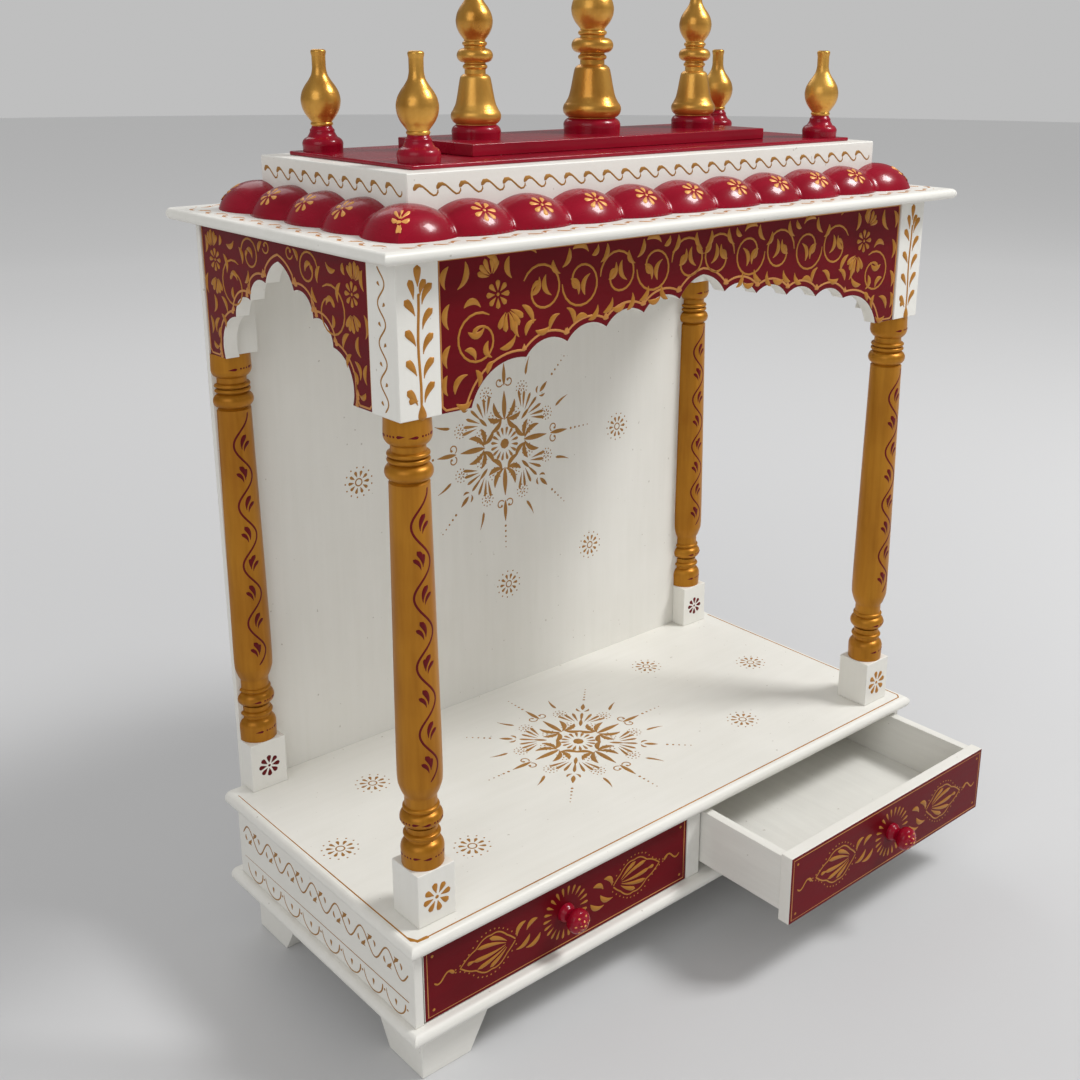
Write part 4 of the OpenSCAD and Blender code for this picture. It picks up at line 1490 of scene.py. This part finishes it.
    def dress(self) -> None:
        """Paints the petals' flowers, the tier's wave and the cornice's sprigs."""
        self.dress_petals()
        for node in ("tier", "cornice"):
            space = Space.of(node)
            for side, (along, out) in SIDES.items():
                length = abs(along.dot(space.size))
                rim = Vector((space.middle.x, space.middle.y, 0)) + out * (abs(out.dot(space.size)) / 2)
                if node == "tier":
                    ground = Face(rim + Z * space.low.z, along, Z)
                    drawn, paint = self.tier_wave(length), BRONZE_GOLD
                else:
                    ground = Face(rim + Z * space.high.z - out * self.sprig_inset, along, -out)
                    drawn, paint = self.cornice_sprigs(length - self.sprig_gap), PALE_GOLD
                drawn.paint(f"{node}_{side}_border", ground, self.body, "white_paint", paint.material(),
                            LINE_RISE)


# ---------------------------------------------------------------- studio


@dataclass
class Studio:
    """The floor, the lights (name, place in metres, size and power) and the camera (in mm and degrees)."""

    LIGHTS: ClassVar = (
        ("key", (1.6, -1.3, 2.8), 0.8, 70),
        ("fill", (-2.5, -1.2, 1.9), 2.0, 20),
        ("back", (0.6, 2.2, 2.4), 1.6, 12),
    )

    camera_place: Vector = field(default_factory=lambda: Vector((-758.9, -843.1, 767.9)))
    yaw: float = 41.695
    pitch: float = -17.545
    roll: float = 0.35
    lens: float = 44.73
    shift: tuple[float, float] = (-0.0438, -0.0693)
    floor_tone: Colour = (0.58, 0.58, 0.585)
    far_tone: Colour = (0.90, 0.90, 0.90)

    def build(self) -> None:
        """Builds everything round the temple."""
        self.build_floor()
        self.build_world()
        deck = Space.of("deck")
        aim = Vector((0, deck.middle.y, 330)) * MM
        for name, place, size, power in self.LIGHTS:
            lamp = bpy.data.lights.new(name, "AREA")
            lamp.size, lamp.energy = size, power
            light = bpy.data.objects.new(name, lamp)
            light.location = place
            light.rotation_euler = (aim - Vector(place)).to_track_quat("-Z", "Y").to_euler()
            bpy.context.scene.collection.objects.link(light)
        self.build_camera(deck)

    def build_floor(self) -> None:
        """Builds a wide pale floor."""
        bm = bmesh.new()
        bmesh.ops.create_circle(bm, cap_ends=True, segments=96, radius=14)
        mesh = bpy.data.meshes.new("floor")
        bm.to_mesh(mesh)
        bm.free()
        floor = bpy.data.objects.new("floor", mesh)
        bpy.context.scene.collection.objects.link(floor)
        material = bpy.data.materials.new("floor_matt")
        material.use_nodes = True
        tree = Tree(material.node_tree)
        shader = material.node_tree.nodes["Principled BSDF"]
        shader.inputs["Roughness"].default_value = 0.85
        place = tree.add("ShaderNodeTexCoord").outputs["Object"]
        away = tree.add("ShaderNodeVectorMath", operation="LENGTH")
        tree.join(place, away.inputs[0])
        tint = tree.add("ShaderNodeMix", data_type="RGBA")
        tint.inputs[6].default_value = (*self.floor_tone, 1)
        tint.inputs[7].default_value = (*self.far_tone, 1)
        tree.join(tree.ramp(away.outputs["Value"], 0.6, 4.0), tint.inputs[0])
        tree.join(tint.outputs[2], shader.inputs["Base Color"])
        mesh.materials.append(material)

    def build_world(self) -> None:
        """Sets a plain soft sky, with a plain pale backdrop for the eye."""
        world = bpy.data.worlds.new("plain")
        bpy.context.scene.world = world
        world.use_nodes = True
        tree = Tree(world.node_tree)
        light = world.node_tree.nodes["Background"]
        light.inputs["Color"].default_value = (1, 1, 1, 1)
        light.inputs["Strength"].default_value = 0.50
        path = tree.add("ShaderNodeLightPath")
        last = light.outputs[0]
        for ray, tone in (("Is Glossy Ray", 0.20), ("Is Camera Ray", 0.52)):
            seen = tree.add("ShaderNodeBackground")
            seen.inputs["Color"].default_value = (tone, tone, tone, 1)
            mix = tree.add("ShaderNodeMixShader")
            tree.join(path.outputs[ray], mix.inputs[0])
            tree.join(last, mix.inputs[1])
            tree.join(seen.outputs[0], mix.inputs[2])
            last = mix.outputs[0]
        tree.join(last, world.node_tree.nodes["World Output"].inputs["Surface"])

    def build_camera(self, deck: Space) -> None:
        """Stands the camera at its place, measured from the middle of the deck.

        Args:
            deck: the deck's box.
        """
        data = bpy.data.cameras.new("camera")
        data.lens, data.sensor_width = self.lens, 36
        data.shift_x, data.shift_y = self.shift
        camera = bpy.data.objects.new("camera", data)
        camera.location = (self.camera_place + Vector((deck.middle.x, deck.middle.y, 0))) * MM
        yaw, pitch = math.radians(self.yaw), math.radians(self.pitch)
        look = Vector((math.sin(yaw) * math.cos(pitch), math.cos(yaw) * math.cos(pitch), math.sin(pitch)))
        roll = Matrix.Rotation(math.radians(self.roll), 4, "Z").to_quaternion()
        camera.rotation_mode = "QUATERNION"
        camera.rotation_quaternion = look.to_track_quat("-Z", "Y") @ roll
        bpy.context.scene.collection.objects.link(camera)
        bpy.context.scene.camera = camera


def main() -> None:
    """Builds the temple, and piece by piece."""
    logging.basicConfig(level=logging.INFO, format="%(name)s: %(message)s", stream=sys.stdout)
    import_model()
    bpy.context.scene.view_settings.view_transform = "Standard"
    Studio().build()
    parts = [Base(), Drawer(Hand.LEFT), Drawer(Hand.RIGHT),
             *(Pillar(hand, end) for end, hand in product(End, Hand)), Arches(), BackPanel(), Roof()]
    for part in parts:
        part.build()
        part.dress()
        LOG.info("%s is built and dressed", type(part).__name__)


if __name__ == "__main__":
    main()
